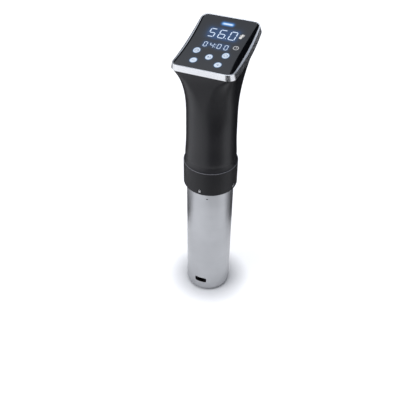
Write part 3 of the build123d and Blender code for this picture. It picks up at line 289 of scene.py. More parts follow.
def lamp_card(edge, reach):
    """A card's corners: one edge as given, and at its height a straight one along the lamp over the panel, at
    a reach from the lamp's middle."""
    ends = (edge[[-1, 0]] - panel_box) @ box_along
    straight = panel_box + reach * box_across + ends[:, None] * box_along
    straight[:, 2] = edge[0, 2]
    return [*edge, *straight]


floor_lift, sky_light = 0.58, 0.16
cool_white, cool_sky = "#fafbff", "#e6efff"
# Black velvet on board, which swallows the light.
card_velvet = finish("velvet_on_board_black", ("#0a0a0a", "#0e0e0e"), roughness=(0.9, 1.0),
                     grain=2.0, patch=60.0, bump=0.01)
eye = place_camera()
lay_floor()
hang_sky()

# The lamp over the panel is what the glass mirrors. The others light the whole stick, from above and from the
# front left.
panel_box = np.array((-0.4414, 0.3653, 0.75))
panel_box_size = (0.60, 0.777)
panel_box_spin = math.radians(15.0)
box_across = np.array((math.cos(panel_box_spin), math.sin(panel_box_spin), 0.0))
box_along = np.array((-math.sin(panel_box_spin), math.cos(panel_box_spin), 0.0))
softbox("softbox_over_panel", centre=panel_box, aim=panel_box - up_axis, size=panel_box_size,
        power=0.42, spin=panel_box_spin)
softbox("softbox_overhead", centre=(0.10, -0.30, 1.60), aim=(0.10, -0.30, 0.0), size=(1.2, 1.2), power=13.0)
softbox("softbox_front_left", centre=(-0.80, -0.85, 0.70), aim=(0.0, 0.0, 0.2), size=(0.5, 0.7), power=4.0)

# Beside the lamp, a card fills what the glass mirrors up to its right edge. Below the lamp, another darkens
# the left lip and a thin line of the glass beside it.
left_line, below_lamp, left_card_reach = 1.7, 0.004, 0.02
right_edge = mirrored_line(glass_half, panel_box[2])
left_edge = mirrored_line(left_line - glass_half, panel_box[2] - below_lamp)
dark_card("card_beside_panel", lamp_card(right_edge, panel_box_size[0] / 2))
dark_card("card_over_left_lip", lamp_card(left_edge, left_card_reach))

# The other cards round the stick: distances in metres, bearings in degrees and heights in metres.
near_floor = 0.002
ring_cards = (
    ("card_before_grip", (0.29, 0.62), (6, 72), near_floor),
    ("card_under_flare_right", (0.062, 0.118), (0, 78), 0.255),
    ("card_under_flare_left", (0.075, 0.100), (-40, 0), 0.260),
    ("card_before_corner", (0.62, 1.0), (-8, 52), near_floor),
    ("card_behind_grip", (0.26, 0.80), (114, 264), near_floor),
    ("card_behind_sleeve", (0.14, 0.245), (130, 264), near_floor),
    ("card_right_of_sleeve", (0.16, 0.23), (102, 130), near_floor),
    ("card_left_of_sleeve", (0.16, 0.23), (264, 292), near_floor),
    ("card_behind_panel", (0.80, 1.80), (112, 175), near_floor),
)
for card_name, radii, bearings, height in ring_cards:
    dark_card(card_name, ring_sector(radii, bearings, height))


# Mesh helpers. Faces are a list of arrays, with one row of point numbers for each face.


def make_piece(name, points, faces, material, body="root", crease=35.0):
    """Puts points (metres, row frame) and faces into a mesh, smooth but for edges sharper than crease."""
    mesh = bpy.data.meshes.new(name)
    rows = [row for group in faces for row in group.tolist()]
    mesh.from_pydata(np.asarray(points).reshape(-1, 3).tolist(), [], rows)
    mesh.shade_smooth()
    mesh.set_sharp_from_angle(angle=math.radians(crease))
    mesh.materials.append(material)
    piece = bpy.data.objects.new(name, mesh)
    scene.collection.objects.link(piece)
    if body:
        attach(piece, body)
    return piece


def with_values(piece, name, values):
    """Gives a piece an attribute with one value for each point."""
    attribute = piece.data.attributes.new(name, "FLOAT", "POINT")
    attribute.data.foreach_set("value", np.asarray(values, np.float32))


def ring_faces(rows, columns):
    """Quads of a grid of rows by columns that closes on itself both ways, row by row."""
    row, column = np.meshgrid(np.arange(rows), np.arange(columns), indexing="ij")
    next_row, next_column = (row + 1) % rows, (column + 1) % columns
    corners = (row * columns + column, row * columns + next_column,
               next_row * columns + next_column, next_row * columns + column)
    return np.stack(corners, axis=-1).reshape(-1, 4)


def slabs(outlines, place, low, high):
    """Thin closed slabs: each outline, anticlockwise and of equally many points, is set at depth high for
    its face and at depth low for its back, with a wall of quads between."""
    outlines = np.asarray(outlines, float)
    count, size = outlines.shape[:2]
    across, along = outlines[..., 0], outlines[..., 1]
    points = np.stack((place(across, along, high), place(across, along, low)), axis=1)
    start = np.arange(count)[:, None] * 2 * size
    ring = np.arange(size)[None, :]
    ahead = (ring + 1) % size
    top = start + ring
    back = (start + size + ring)[:, ::-1]
    wall = np.stack((start + size + ring, start + size + ahead, start + ahead, start + ring), axis=-1)
    return points.reshape(-1, 3), [top, back, wall.reshape(-1, 4)]


def join(parts):
    """Several (points, faces) as one, with the faces' numbers moved on."""
    points, faces, offset = [], [], 0
    for part_points, part_faces in parts:
        points.append(np.asarray(part_points).reshape(-1, 3))
        faces += [group + offset for group in part_faces]
        offset += len(points[-1])
    return np.concatenate(points), faces


def on_tube(angle, radius):
    """A placing function for marks on a round face: arc length to the right of an angle, height, and depth
    below the face."""

    def place(aside, height, depth):
        """The places in metres, in the row frame."""
        turn = math.radians(angle) + aside / radius
        reach = radius - depth
        return MM * np.stack((reach * np.cos(turn), reach * np.sin(turn), height), axis=-1)

    return place


def stroke(path, width, origin=(0.0, 0.0)):
    """A line of points about an origin as a thin outline: the points moved half a width to the right of the
    path, then back along its left."""
    path = np.asarray(path, float) + origin
    heading = np.gradient(path, axis=0)
    heading /= np.linalg.norm(heading, axis=1, keepdims=True)
    right = np.stack((heading[:, 1], -heading[:, 0]), axis=1) * width / 2
    return np.concatenate((path + right, (path - right)[::-1]))


def arc(centre, radius, start, end, count=24):
    """Points on a circle from one angle to another, in degrees."""
    turn = np.radians(np.linspace(start, end, count))
    return np.stack((centre[0] + radius * np.cos(turn), centre[1] + radius * np.sin(turn)), axis=1)


def disc(centre, radius, count=48):
    """A circle as an outline of count points."""
    return arc(centre, radius, 0, 360 - 360 / count, count)


# Finishes

# Deep-drawn stainless tube, belt-ground round and round: pale grey with fine hoops across the light.
drawn_stainless = finish("drawn_stainless_satin", ("#a8a9ab", "#b2b3b5"), roughness=(0.30, 0.42),
                         grain=3.0, patch=60.0, bump=0.004, stretch=(0.1, 0.1, 6.0), metallic=1.0)
# Moulded ABS under a soft-touch lacquer: charcoal and dull. Its 0.2 mm grain is drawn coarser, to show.
soft_touch_abs = finish("moulded_abs_soft_touch", ("#121115", "#161519"), roughness=(0.36, 0.46),
                        grain=0.7, patch=45.0, bump=0.004, ior=1.42)
# The collar's ABS, moulded with a finer spark texture and no lacquer: blacker than the grip.
fine_matt_abs = finish("moulded_abs_fine_matt", ("#0f0e11", "#131216"), roughness=(0.40, 0.50),
                       grain=0.7, patch=45.0, bump=0.004, ior=1.34)
# The same ABS painted pale along an edge as a painted highlight: a thin grey line.
edge_highlight_abs = finish("moulded_abs_painted_edge_highlight", ("#74747a", "#7e7e84"), roughness=(0.22, 0.30),
                       grain=0.7, patch=25.0, bump=0.002)
# Stainless etched by laser: a dull dark stain.
etched_steel = finish("laser_etched_stainless", ("#3a3b3e", "#444548"), roughness=(0.45, 0.55),
                      grain=0.5, patch=4.0, bump=0.002, metallic=1.0)
# Moulded glass-filled nylon: near black, duller than the shells, with a coarse spark texture.
filled_nylon = finish("moulded_nylon_spark_texture", ("#1d1d1f", "#232325"), roughness=(0.50, 0.66),
                      grain=0.6, patch=20.0, bump=0.012)
# Chromium over ABS, satin from the mould: bright, with soft edges to what it mirrors.
satin_chrome = finish("chrome_plated_abs_satin", ("#c4c5c7", "#cdcecf"), roughness=(0.18, 0.23),
                      grain=0.8, patch=30.0, bump=0.0004, metallic=1.0)
# Cast silicone: soft dark grey with a dusty sheen.
silicone = finish("cast_silicone_rubber", ("#2c2c2e", "#343436"), roughness=(0.60, 0.75),
                  grain=0.5, patch=15.0, bump=0.006)
# Moulded PPS: its natural brown-black, with flow marks.
moulded_pps = finish("moulded_pps_natural", ("#3a342d", "#453e36"), roughness=(0.42, 0.56),
                     grain=1.2, patch=18.0, bump=0.006)
# FR-4 laminate under green solder mask: glossy, with the weave faint below it.
green_laminate = finish("fr4_laminate_solder_mask", ("#0f4a2b", "#13562f"), roughness=(0.28, 0.40),
                        grain=0.9, patch=12.0, bump=0.004)
# Moulded PBT, the cases of small parts on the boards: plain black, half dull.
moulded_case = finish("moulded_pbt_black", ("#17171a", "#1f1f22"), roughness=(0.40, 0.52),
                      grain=0.8, patch=10.0, bump=0.005)
# Bright-drawn stainless sheath and bar: shiny, with lines along its length.
drawn_bar = finish("bright_drawn_stainless", ("#b4b5b6", "#c2c2c3"), roughness=(0.20, 0.32),
                   grain=0.8, patch=15.0, bump=0.002, stretch=(4.0, 4.0, 0.4), metallic=1.0)
# Zinc plate on steel: bluish silver, slightly cloudy.
zinc_plate = finish("zinc_plated_steel", ("#a9b0b8", "#bcc2c8"), roughness=(0.26, 0.40),
                    grain=0.7, patch=6.0, bump=0.003, metallic=1.0)
# Music-wire spring steel, oiled: grey with a wet gleam.
music_wire = finish("drawn_spring_wire", ("#8b8c8f", "#9c9da0"), roughness=(0.22, 0.34),
                    grain=0.5, patch=6.0, bump=0.002, metallic=1.0)
# Sintered bronze: open grain, brown-gold.
sintered_bronze = finish("sintered_bronze", ("#8d6b3c", "#a37d49"), roughness=(0.40, 0.55),
                         grain=0.4, patch=5.0, bump=0.006, metallic=1.0)
# Extruded and machined aluminium: pale, with lines along the extrusion.
aluminium = finish("extruded_aluminium", ("#b7b9bb", "#c6c8ca"), roughness=(0.28, 0.40),
                   grain=0.8, patch=12.0, bump=0.003, stretch=(3.0, 3.0, 0.3), metallic=1.0)
# Varnished laminations and ferrite: dark grey-brown, stacked along the axis.
laminated_core = finish("varnished_laminations", ("#3b3836", "#4a4643"), roughness=(0.38, 0.54),
                        grain=0.5, patch=10.0, bump=0.010, stretch=(0.4, 0.4, 4.0))
# Moulded opal acrylic of the light guides: milky white.
opal_acrylic = finish("opal_acrylic", ("#dfe6ec", "#e9eff4"), roughness=(0.22, 0.32),
                      grain=0.8, patch=8.0, bump=0.002, ior=1.49)
# White ink printed by a pad: flat and even, without a gloss.
pad_print = finish("pad_printed_ink_white", ("#c9c9c9", "#d6d6d6"), roughness=(0.5, 0.6),
                   grain=0.5, patch=6.0, bump=0.003)


def panel_glass():
    """Toughened glass, printed black behind: smooth and glossy, near black by itself. Where a mesh carries a
    glow, blue light bleeds through the print. Ink drift and smears have sizes in millimetres."""
    ink_patch, smear_size = 20.0, 11.0
    clean_roughness, smeared_roughness, glass_ior = 0.015, 0.035, 1.52
    material, tree, shader, coordinates = new_material("toughened_glass_black_print")
    print_drift = add(tree, "ShaderNodeTexNoise",
                      {"Vector": coordinates, "Scale": 1 / (ink_patch * MM), "Detail": 2.0})
    ink = add(tree, "ShaderNodeValToRGB", {"Fac": print_drift.outputs["Fac"]},
              stops=tuple(zip(wide_noise, ("#06070a", "#0b0c10"))))
    tree.links.new(ink.outputs["Color"], shader.inputs["Base Color"])
    smears = add(tree, "ShaderNodeTexNoise",
                 {"Vector": coordinates, "Scale": 1 / (smear_size * MM), "Detail": 4.0})
    polish = add(tree, "ShaderNodeMapRange",
                 {"Value": smears.outputs["Fac"], "From Min": narrow_noise[0], "From Max": narrow_noise[1],
                  "To Min": clean_roughness, "To Max": smeared_roughness})
    tree.links.new(polish.outputs["Result"], shader.inputs["Roughness"])
    shader.inputs["IOR"].default_value = glass_ior
    glow = add(tree, "ShaderNodeAttribute", attribute_name="glow")
    bleed = add(tree, "ShaderNodeValToRGB", {"Fac": glow.outputs["Fac"]},
                stops=((0.0, "#000000"), (0.25, "#04203a"), (0.5, "#0c3c6c"), (0.75, "#2f74b8"),
                       (1.0, "#9cccff")))
    tree.links.new(bleed.outputs["Color"], shader.inputs["Emission Color"])
    shader.inputs["Emission Strength"].default_value = 1.0
    return material


def lit(name, inner, outer, strength):
    """A lit area behind the glass: bright in its middle and bluer to its rim, by the mesh's own rim
    attribute, with a mottle of the opal's grain."""
    mottle_size, mottle_depth, rim_start = 1.2, 0.06, 0.75
    unlit_colour, unlit_roughness = "#101014", 0.3
    material, tree, shader, coordinates = new_material(name)
    rim = add(tree, "ShaderNodeAttribute", attribute_name="rim")
    mottle = add(tree, "ShaderNodeTexNoise",
                 {"Vector": coordinates, "Scale": 1 / (mottle_size * MM), "Detail": 2.0})
    uneven = add(tree, "ShaderNodeMapRange",
                 {"Value": mottle.outputs["Fac"], "From Min": wide_noise[0], "From Max": wide_noise[1],
                  "To Min": -mottle_depth, "To Max": mottle_depth})
    share = add(tree, "ShaderNodeMath",
                {0: rim.outputs["Fac"], 1: uneven.outputs["Result"]}, operation="ADD")
    colour = add(tree, "ShaderNodeValToRGB", {"Fac": share.outputs["Value"]},
                 stops=((0.0, inner), (rim_start, inner), (1.0, outer)))
    tree.links.new(colour.outputs["Color"], shader.inputs["Emission Color"])
    shader.inputs["Base Color"].default_value = linear(unlit_colour)
    shader.inputs["Roughness"].default_value = unlit_roughness
    shader.inputs["Emission Strength"].default_value = strength
    return material


# Glass over black print: a dark mirror.
glass = panel_glass()
# Segments lit through the print: cold white.
lit_white = lit("lit_segment_white", "#d6e8ff", "#a9cbff", 1.0)
# Opal key areas lit from behind: white, with a blue rim.
lit_key = lit("lit_key_opal", "#dbe8f8", "#8fb2dc", 0.94)
# Blue ink on the lit keys: symbols darker than their ground.
lit_icon = lit("key_icon_ink_blue", "#4d6a95", "#4d6a95", 0.8)
# The thermometer's opening in the print: a neutral white.
lit_mark = lit("lit_symbol_white", "#e8e8e6", "#d0d0d0", 0.9)
# The clock's opening in the print: a dimmer grey.
lit_dim = lit("lit_symbol_grey", "#c6c8cb", "#9a9ea3", 0.85)

node_finishes = {
    drawn_stainless: ["steel_sleeve", "foot_cap"],
    soft_touch_abs: ["front_shell", "rear_shell"],
    fine_matt_abs: ["collar"],
    filled_nylon: ["clamp_lever", "clamp_bracket", "cable_gland", "gland_nut"],
    satin_chrome: ["bezel"],
    glass: ["touch_panel"],
    silicone: ["base_gasket", "panel_gasket", "jaw_pad", "shaft_seal"],
    moulded_pps: ["base_plate", "impeller", "motor_mount", "chassis", "relay"],
    green_laminate: ["control_board", "power_board"],
    moulded_case: ["display_module", "buzzer", "filter_capacitor"],
    drawn_bar: ["heater_element", "temperature_probe", "level_electrodes", "shaft_tube", "pump_shaft",
                "impeller_nut", "motor_shaft", "bayonet_pins", "clamp_pin"],
    zinc_plate: ["base_screws", "motor_screws", "shell_screws", "board_screws", "bracket_screws",
                 "motor_can", "motor_end_cap"],
    music_wire: ["clamp_spring"],
    sintered_bronze: ["motor_bearings", "shaft_bush"],
    aluminium: ["heat_sink", "shaft_coupling"],
    laminated_core: ["armature", "motor_magnets", "transformer"],
    opal_acrylic: ["key_light_guides", "status_light_guide"],
}
for material, names in node_finishes.items():
    for name in names:
        nodes[name].data.materials.clear()
        nodes[name].data.materials.append(material)


# Bezel


def rounded_outline(width, length, corner, arc_steps, side_steps):
    """A rounded rectangle, anticlockwise from the right side: points and outward normals. Each corner is a
    quarter circle and each side is split evenly."""
    half = np.array((width / 2 - corner, length / 2 - corner))
    signs = np.array(((1, 1), (-1, 1), (-1, -1), (1, -1)))
    share = np.linspace(0, 1, side_steps + 1)[1:-1, None]
    points, normals = [], []
    for quarter, (sign, next_sign) in enumerate(zip(signs, np.roll(signs, -1, axis=0))):
        turn = np.radians(90 * quarter + np.linspace(0, 90, arc_steps + 1))
        outward = np.stack((np.cos(turn), np.sin(turn)), axis=1)
        corner_points = half * sign + corner * outward
        next_start = half * next_sign + corner * outward[-1]
        points += [corner_points, corner_points[-1] * (1 - share) + next_start * share]
        normals += [outward, np.repeat(outward[-1:], side_steps - 1, axis=0)]
    return np.concatenate(points), np.concatenate(normals)


def make_bezel():
    """A closed ring: its cross-section runs up the drafted outer wall, over a lip with rounded edges, down to
    the glass's seat, in along the ledge, down the opening and back under. Each point of the section is an
    inset from the panel's outline and a depth below the lip's curve. On the outer wall, marked 1, the inset
    also grows with the height above the chord times the draft, so a few rounds settle both."""
    outer_round, inner_round, foot_round = 0.4, 0.25, 0.35
    edge_steps, wall_steps, corner_steps, side_steps, rounds = 7, 7, 14, 30, 6
    support = 0.12
    quarter = np.radians(np.linspace(0, 90, edge_steps))
    rise, run = 1 - np.cos(quarter), 1 - np.sin(quarter)
    one, none = np.ones(edge_steps), np.zeros(edge_steps)
    wall = np.linspace(bezel_height - foot_round - support, outer_round + support, wall_steps)
    opening = bezel_lip + bezel_ledge
    section = np.concatenate((
        np.column_stack((foot_round * run, bezel_height - foot_round * rise, one)),
        np.column_stack((np.zeros(wall_steps), wall, np.ones(wall_steps))),
        np.column_stack((outer_round * rise, outer_round * run, one)),
        np.column_stack((bezel_lip - inner_round * run, inner_round * rise, none)),
        ((bezel_lip, glass_seat, 0), (opening, glass_seat, 0), (opening, bezel_height, 0)),
    ))
    inset, depth, drafted = section.T[..., None]
    base, outward = rounded_outline(panel_width, panel_length, panel_corner, corner_steps, side_steps)
    reach = inset + np.zeros(len(base))
    for _ in range(rounds):
        along = base[:, 1] - reach * outward[:, 1]
        height = arc_centre - np.sqrt((lip_arc + depth) ** 2 - along**2)
        reach = inset + drafted * height * bezel_draft
    points = on_panel(base[:, 0] - reach * outward[:, 0], base[:, 1] - reach * outward[:, 1], depth)
    faces = [ring_faces(len(section), len(base))[:, ::-1]]
    piece = make_piece("plated_bezel", points, faces, satin_chrome, crease=50.0)
    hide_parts("bezel")


make_bezel()


# Lit display, keys and status bar

# How far the lit pieces rise above the glass and reach below it. Depths count down from the lip's curve.
figure_rise, disc_rise, film_rise, root_reach = 0.08, 0.055, 0.03, 0.05
face_depth = glass_recess - figure_rise
disc_depth = glass_recess - disc_rise
film_depth = glass_recess - film_rise
buried = glass_recess + root_reach
# The seven bars of a figure, each between two corners of its cell, and the bars that each digit lights.
segment_ends = {
    "a": ((0, 2), (1, 2)),
    "b": ((1, 2), (1, 1)),
    "c": ((1, 1), (1, 0)),
    "d": ((0, 0), (1, 0)),
    "e": ((0, 1), (0, 0)),
    "f": ((0, 2), (0, 1)),
    "g": ((0, 1), (1, 1)),
}
segments_of = {"0": "abcdef", "4": "bcfg", "5": "acdfg", "6": "acdefg"}


def digit_bars(figures, foot, height, lean, bar):
    """Seven-segment figures as six-sided bars: each bar runs between two corners of a cell one wide and two
    high, is cut to a point at both ends, and leans with its height. A figure is a digit, its left edge and
    its width."""
    least_gap, gap_per_bar = 0.12, 0.16
    gap = gap_per_bar * bar + least_gap
    outlines = []
    for figure, left, width in figures:
        ends = np.array([segment_ends[s] for s in segments_of[figure]], float) * (width, height / 2)
        start, end = ends[:, 0], ends[:, 1]
        heading = (end - start) / np.linalg.norm(end - start, axis=1, keepdims=True)
        side = np.stack((-heading[:, 1], heading[:, 0]), axis=1) * bar / 2
        start, end = start + heading * gap, end - heading * gap
        tip = heading * bar / 2
        there = (start, start + tip - side, end - tip - side)
        back = (end, end - tip + side, start + tip + side)
        bars = np.stack((*there, *back), axis=1)
        bars[..., 0] += left + bars[..., 1] * lean
        bars[..., 1] += foot
        outlines.append(bars)
    return np.concatenate(outlines)


def lit_slabs(name, outlines, material):
    """Thin slabs that stand on the glass, each lit evenly."""
    points, faces = join([slabs(group, on_panel, buried, face_depth) for group in outlines])
    with_values(make_piece(name, points, faces, material), "rim", np.zeros(len(points)))


# The print on the glass lies a little left of the panel's middle.
print_middle = -1.9
temperature = [("5", -17.3, 6.6), ("6", -5.9, 7.0), ("0", 6.3, 7.0)]
timer = [("0", -15.9, 3.5), ("4", -8.7, 4.1), ("0", -0.1, 3.5), ("0", 7.8, 3.5)]
temperature_foot, timer_foot = 14.4, -2.8
temperature_bars = digit_bars(temperature, temperature_foot, height=12.2, lean=0.09, bar=1.13)
timer_bars = digit_bars(timer, timer_foot, height=7.4, lean=0.02, bar=0.75)
key_radii = np.array((3.9, 5.0))
key_spots = np.array([(-17.0, -12.0), (16.0, -12.1), (0.1, -19.7), (-13.2, -30.4), (14.2, -30.6)])
key_spots += (print_middle, 0)
status_middle, status_width, status_radius = np.array((-0.8, 36.1)), 9.8, 0.85


def make_display():
    """The set temperature and the timer as bright bars, with their points."""
    point, point_radius, colon_radius, dot_steps = (3.7, temperature_foot + 0.3), 0.6, 0.5, 20
    colon = [(-2.6, timer_foot + rise) for rise in (1.6, 5.4)]
    dots = [disc(point, point_radius, dot_steps), *[disc(dot, colon_radius, dot_steps) for dot in colon]]
    outlines = [temperature_bars, timer_bars, np.array(dots)]
    lit_slabs("display_figures", outlines, lit_white)


def line_distance(spots, lines):
    """The distance of every spot from every line's nearest point."""
    start, run = lines[:, 0], lines[:, 1] - lines[:, 0]
    offset = spots[:, None] - start
    share = np.clip((offset * run).sum(axis=-1) / (run**2).sum(axis=-1), 0, 1)
    return np.linalg.norm(offset - share[..., None] * run, axis=-1)


def glow_at(spots):
    """The light that bleeds through the print, from 0 to 1. Round the figures it is the sum of exponentials
    that fall with the distance from each bar's line, eased off to a peak; round the keys it falls likewise
    from their rims; round the status bar it fades smoothly to nothing within a reach."""
    figure_peak, rim_peak, rim_reach, status_reach = 0.48, 0.3, 1.0, 5.8
    halos = [gain * np.exp(-line_distance(spots, bars[:, [0, 3]]) / reach).sum(axis=1)
             for bars, gain, reach in ((temperature_bars, 1.4, 2.2), (timer_bars, 1.2, 1.2))]
    figures = figure_peak * np.tanh(sum(halos))
    from_rim = (np.linalg.norm((spots[:, None] - key_spots) / key_radii, axis=-1) - 1) * key_radii.mean()
    rims = rim_peak * np.exp(-np.maximum(from_rim, 0) / rim_reach).max(axis=1)
    status_left, status_right = (5.2, 0), (4.6, 0)
    status_line = np.array([[status_middle - status_left, status_middle + status_right]])
    fade = np.clip(1 - line_distance(spots, status_line)[:, 0] / status_reach, 0, 1)
    return np.maximum.reduce((figures, rims, fade**2 * (3 - 2 * fade)))


def make_glow_film():
    """A clear film over the glass: a grid of points that carry the glow, closed by a back between two lower
    edges, two side walls and two ends."""
    half_width, half_length, columns, rows = 31.0, 43.4, 104, 146
    across, along = np.meshgrid(np.linspace(-half_width, half_width, columns),
                                np.linspace(-half_length, half_length, rows))
    upper = on_panel(across, along, film_depth)
    lower = on_panel(across[:, [0, -1]], along[:, [0, -1]], buried)
    points = np.concatenate((upper.reshape(-1, 3), lower.reshape(-1, 3)))
    number = np.arange(rows * columns).reshape(rows, columns)
    left, right = rows * columns + np.arange(2 * rows).reshape(rows, 2).T
    top = np.stack((number[:-1, :-1], number[:-1, 1:], number[1:, 1:], number[1:, :-1]), axis=-1)
    back = np.stack((left[:-1], left[1:], right[1:], right[:-1]), axis=-1)
    left_wall = np.stack((number[:-1, 0], number[1:, 0], left[1:], left[:-1]), axis=-1)
    right_wall = np.stack((number[:-1, -1], right[:-1], right[1:], number[1:, -1]), axis=-1)
    front = np.array([[*number[0, ::-1], left[0], right[0]]])
    rear = np.array([[*number[-1], right[-1], left[-1]]])
    faces = [top.reshape(-1, 4), back, left_wall, right_wall, front, rear]
    piece = make_piece("panel_glow_film", points, faces, glass, crease=80.0)
    glow = glow_at(np.stack((across, along), axis=-1).reshape(-1, 2))
    with_values(piece, "glow", np.concatenate((glow, np.zeros(2 * rows))))


def make_symbols():
    """A thermometer beside the temperature and a clock beside the timer."""
    foot, bulb, tube_width, tick_width = np.array((19.1, 20.0)), 1.7, 1.7, 0.5
    tick_step = np.array((0.2, 0.9))
    right_tick, left_tick = np.array(((1.5, 1.9), (3.0, 1.9))), np.array(((-1.6, 2.4), (-0.5, 2.4)))
    tube = stroke([(0.2, 0.6), (0.8, 3.0), (1.4, 5.4)], tube_width, foot)
    ticks = [stroke(right_tick + k * tick_step, tick_width, foot) for k in range(4)]
    ticks += [stroke(left_tick + k * tick_step, tick_width, foot) for k in range(3)]
    thermometer = [np.array([tube]), np.array([disc(foot, bulb)]), np.array(ticks)]
    lit_slabs("thermometer_symbol", thermometer, lit_mark)
    centre, ring_radius, ring_width, hand_width = np.array((19.9, 3.4)), 2.8, 0.85, 0.6
    rings = [stroke(arc(centre, ring_radius, start, start + 120), ring_width) for start in (95, 215, 335)]
    hands = [stroke([(0, 0), tip], hand_width, centre) for tip in ((0.25, 2.0), (1.4, 0.2))]
    lit_slabs("clock_symbol", [np.array(rings), np.array(hands)], lit_dim)


def lit_disc(centre, radii):
    """A thin oval slab as rings of points about its centre, and the share of the radii at each point."""
    shares = np.array((0.35, 0.7, 0.9, 1.0))
    count = 48
    turn = np.linspace(0, 2 * np.pi, count, endpoint=False)
    across = centre[0] + radii[0] * np.outer(shares, np.cos(turn))
    along = centre[1] + radii[1] * np.outer(shares, np.sin(turn))
    upper = on_panel(across, along, disc_depth)
    lower = on_panel(across[-1], along[-1], buried)
    points = np.concatenate((upper.reshape(-1, 3), lower))
    ring = np.arange(count)[None, :]
    bands = ring_faces(len(shares) + 1, count)[:len(shares) * count, ::-1]
    faces = [ring, bands, len(shares) * count + ring[:, ::-1]]
    return points, faces, np.concatenate((np.repeat(shares, count), np.ones(count)))


def make_keys():
    """Five lit ovals, each with a plain symbol: clock, power, run, less and more."""
    discs = [lit_disc(spot, key_radii) for spot in key_spots]
    points, faces = join([one[:2] for one in discs])
    piece = make_piece("key_discs", points, faces, lit_key)
    with_values(piece, "rim", np.concatenate([one[2] for one in discs]))
    clock, power, run, less, more = key_spots
    thin, medium, bold, arm = 0.5, 0.55, 0.6, 1.8
    rings = [stroke(arc(clock, 2.1, start, start + 120), medium) for start in (90, 210, 330)]
    rings += [stroke(arc(power, 2.0, start, start + 150), medium) for start in (120, 270)]
    bars = [
        stroke([(0, 0), (0, 1.4)], thin, clock),
        stroke([(0, 0), (1.0, 0)], thin, clock),
        stroke([(0, 0.6), (0, 2.5)], medium, power),
        stroke([(-arm, 0), (arm, 0)], bold, less),
        stroke([(-arm, 0), (arm, 0)], bold, more),
        stroke([(0, 0.35), (0, arm)], bold, more),
        stroke([(0, -arm), (0, -0.35)], bold, more),
        stroke([(1.5, -1.4), (1.5, 1.4)], bold, run),
    ]
    arrow = run + np.array([(-1.6, -1.5), (0.8, 0.0), (-1.6, 1.5)])
    symbols = [np.array(rings), np.array(bars), np.array([arrow])]
    lit_slabs("key_symbols", symbols, lit_icon)


def make_status_bar():
    """A white bar with round ends."""
    half = np.array((status_width / 2 - status_radius, 0))
    steps = 12
    outline = np.concatenate((arc(status_middle + half, status_radius, -90, 90, steps),
                              arc(status_middle - half, status_radius, 90, 270, steps)))
    lit_slabs("status_bar", [np.array([outline])], lit_white)


make_glow_film()
make_display()
make_symbols()
make_keys()
make_status_bar()


# Collar's edge and marks


def make_collar_bead():
    """The painted highlight on the collar's top edge, as a thin pale ring: a circle of bead radius carried
    round the stick's axis.
    """
    ring_radius, ring_height, bead, ring_steps, bead_steps = 32.59, 207.39, 0.40, 240, 10
    around = np.linspace(0, 2 * np.pi, ring_steps, endpoint=False)[:, None]
    section = np.linspace(0, 2 * np.pi, bead_steps, endpoint=False)[None, :]
    reach = ring_radius + bead * np.cos(section)
    height = ring_height + bead * np.sin(section) + np.zeros_like(around)
    points = MM * np.stack((reach * np.cos(around), reach * np.sin(around), height), axis=-1)
    faces = [ring_faces(ring_steps, bead_steps)[:, ::-1]]
    # Painted highlight: the pale bead stands in for light caught by the collar's rounded top edge.
    make_piece("collar_edge_bead", points, faces, edge_highlight_abs, crease=80.0)


def lock_mark(name, angle, bow_shift):
    """A small padlock, printed on the collar at an angle: a square body and a bow, which is shifted to one
    side on the open one. The ink is rooted below the face and stands a little proud of it."""
    foot, half, height, bow_radius, bow_width, bow_leg = 178.4, 1.3, 2.3, 0.85, 0.5, 0.6
    root_depth, ink_depth = 0.05, -0.03
    top = foot + height
    body = np.array([(-half, foot), (half, foot), (half, top), (-half, top)])
    crown = arc((bow_shift, top + bow_leg), bow_radius, 180, 0, count=12)
    left_leg, right_leg = (bow_shift - bow_radius, top), (bow_shift + bow_radius, top)
    bow = stroke(np.concatenate(([left_leg], crown, [right_leg])), bow_width)
    place = on_tube(angle, collar_radius)
    points, faces = join([slabs([outline], place, root_depth, ink_depth) for outline in (body, bow)])
    make_piece(name, points, faces, pad_print)


def make_sleeve_tick():
    """A short line etched across the sleeve's front, just below the collar: a slab that stands a hair proud
    of the face."""
    angle, half, low, high = -75.9, 1.1, 165.6, 166.9
    root_depth, stain_depth = 0.05, -0.02
    outline = np.array([(-half, low), (half, low), (half, high), (-half, high)])
    points, faces = slabs([outline], on_tube(angle, sleeve_radius), root_depth, stain_depth)
    make_piece("sleeve_tick", points, faces, etched_steel, body="sleeve")


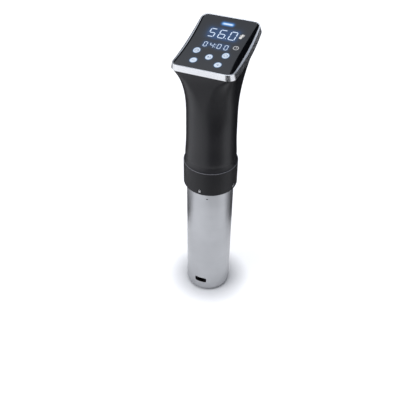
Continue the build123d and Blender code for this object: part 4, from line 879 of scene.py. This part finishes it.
make_collar_bead()
lock_mark("lock_mark_closed", angle=-91.8, bow_shift=0.0)
lock_mark("lock_mark_open", angle=-12.1, bow_shift=1.6)
make_sleeve_tick()


# Clamp spring


def make_clamp_spring():
    """A torsion spring: a straight leg, a helix along X about the pin and a second leg. The wire's circle is
    carried along that line on two directions square to it."""
    pin_y, pin_z, mean_radius, pitch, wire = 42.0, 196.0, 4.0, 1.8, 0.6
    start, end, fixed_leg, moving_leg = 200.0, 1440.0, 5.4, 8.0
    coil_steps, fixed_steps, moving_steps, wire_steps = 220, 8, 10, 14
    angle = np.radians(np.linspace(start, end, coil_steps))
    run = pitch * (np.degrees(angle) - (start + end) / 2) / 360
    coil = np.stack((run, pin_y + mean_radius * np.cos(angle), pin_z + mean_radius * np.sin(angle)), axis=1)
    rate = np.full_like(angle, pitch / (2 * np.pi))
    heading = np.stack((rate, -mean_radius * np.sin(angle), mean_radius * np.cos(angle)), axis=1)
    heading /= np.linalg.norm(heading, axis=1, keepdims=True)
    lead = coil[0] - heading[0] * np.linspace(fixed_leg, 0, fixed_steps)[:-1, None]
    tail = coil[-1] + heading[-1] * np.linspace(0, moving_leg, moving_steps)[1:, None]
    line = np.concatenate((lead, coil, tail))
    heading = np.pad(heading, ((len(lead), len(tail)), (0, 0)), mode="edge")
    side = np.cross(heading, across_axis)
    side /= np.linalg.norm(side, axis=1, keepdims=True)
    other = np.cross(heading, side)
    turn = np.linspace(0, 2 * np.pi, wire_steps, endpoint=False)[:, None]
    circle = np.cos(turn) * side[:, None] + np.sin(turn) * other[:, None]
    points = line[:, None] + wire * circle
    rows, columns = points.shape[:2]
    cap = np.arange(columns)[None, :]
    walls = ring_faces(rows, columns)[:(rows - 1) * columns, ::-1]
    faces = [walls, cap, cap[:, ::-1] + (rows - 1) * columns]
    piece = make_piece("torsion_spring", MM * points, faces, music_wire, body=None)
    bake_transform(piece)
    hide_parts("clamp_spring")


make_clamp_spring()
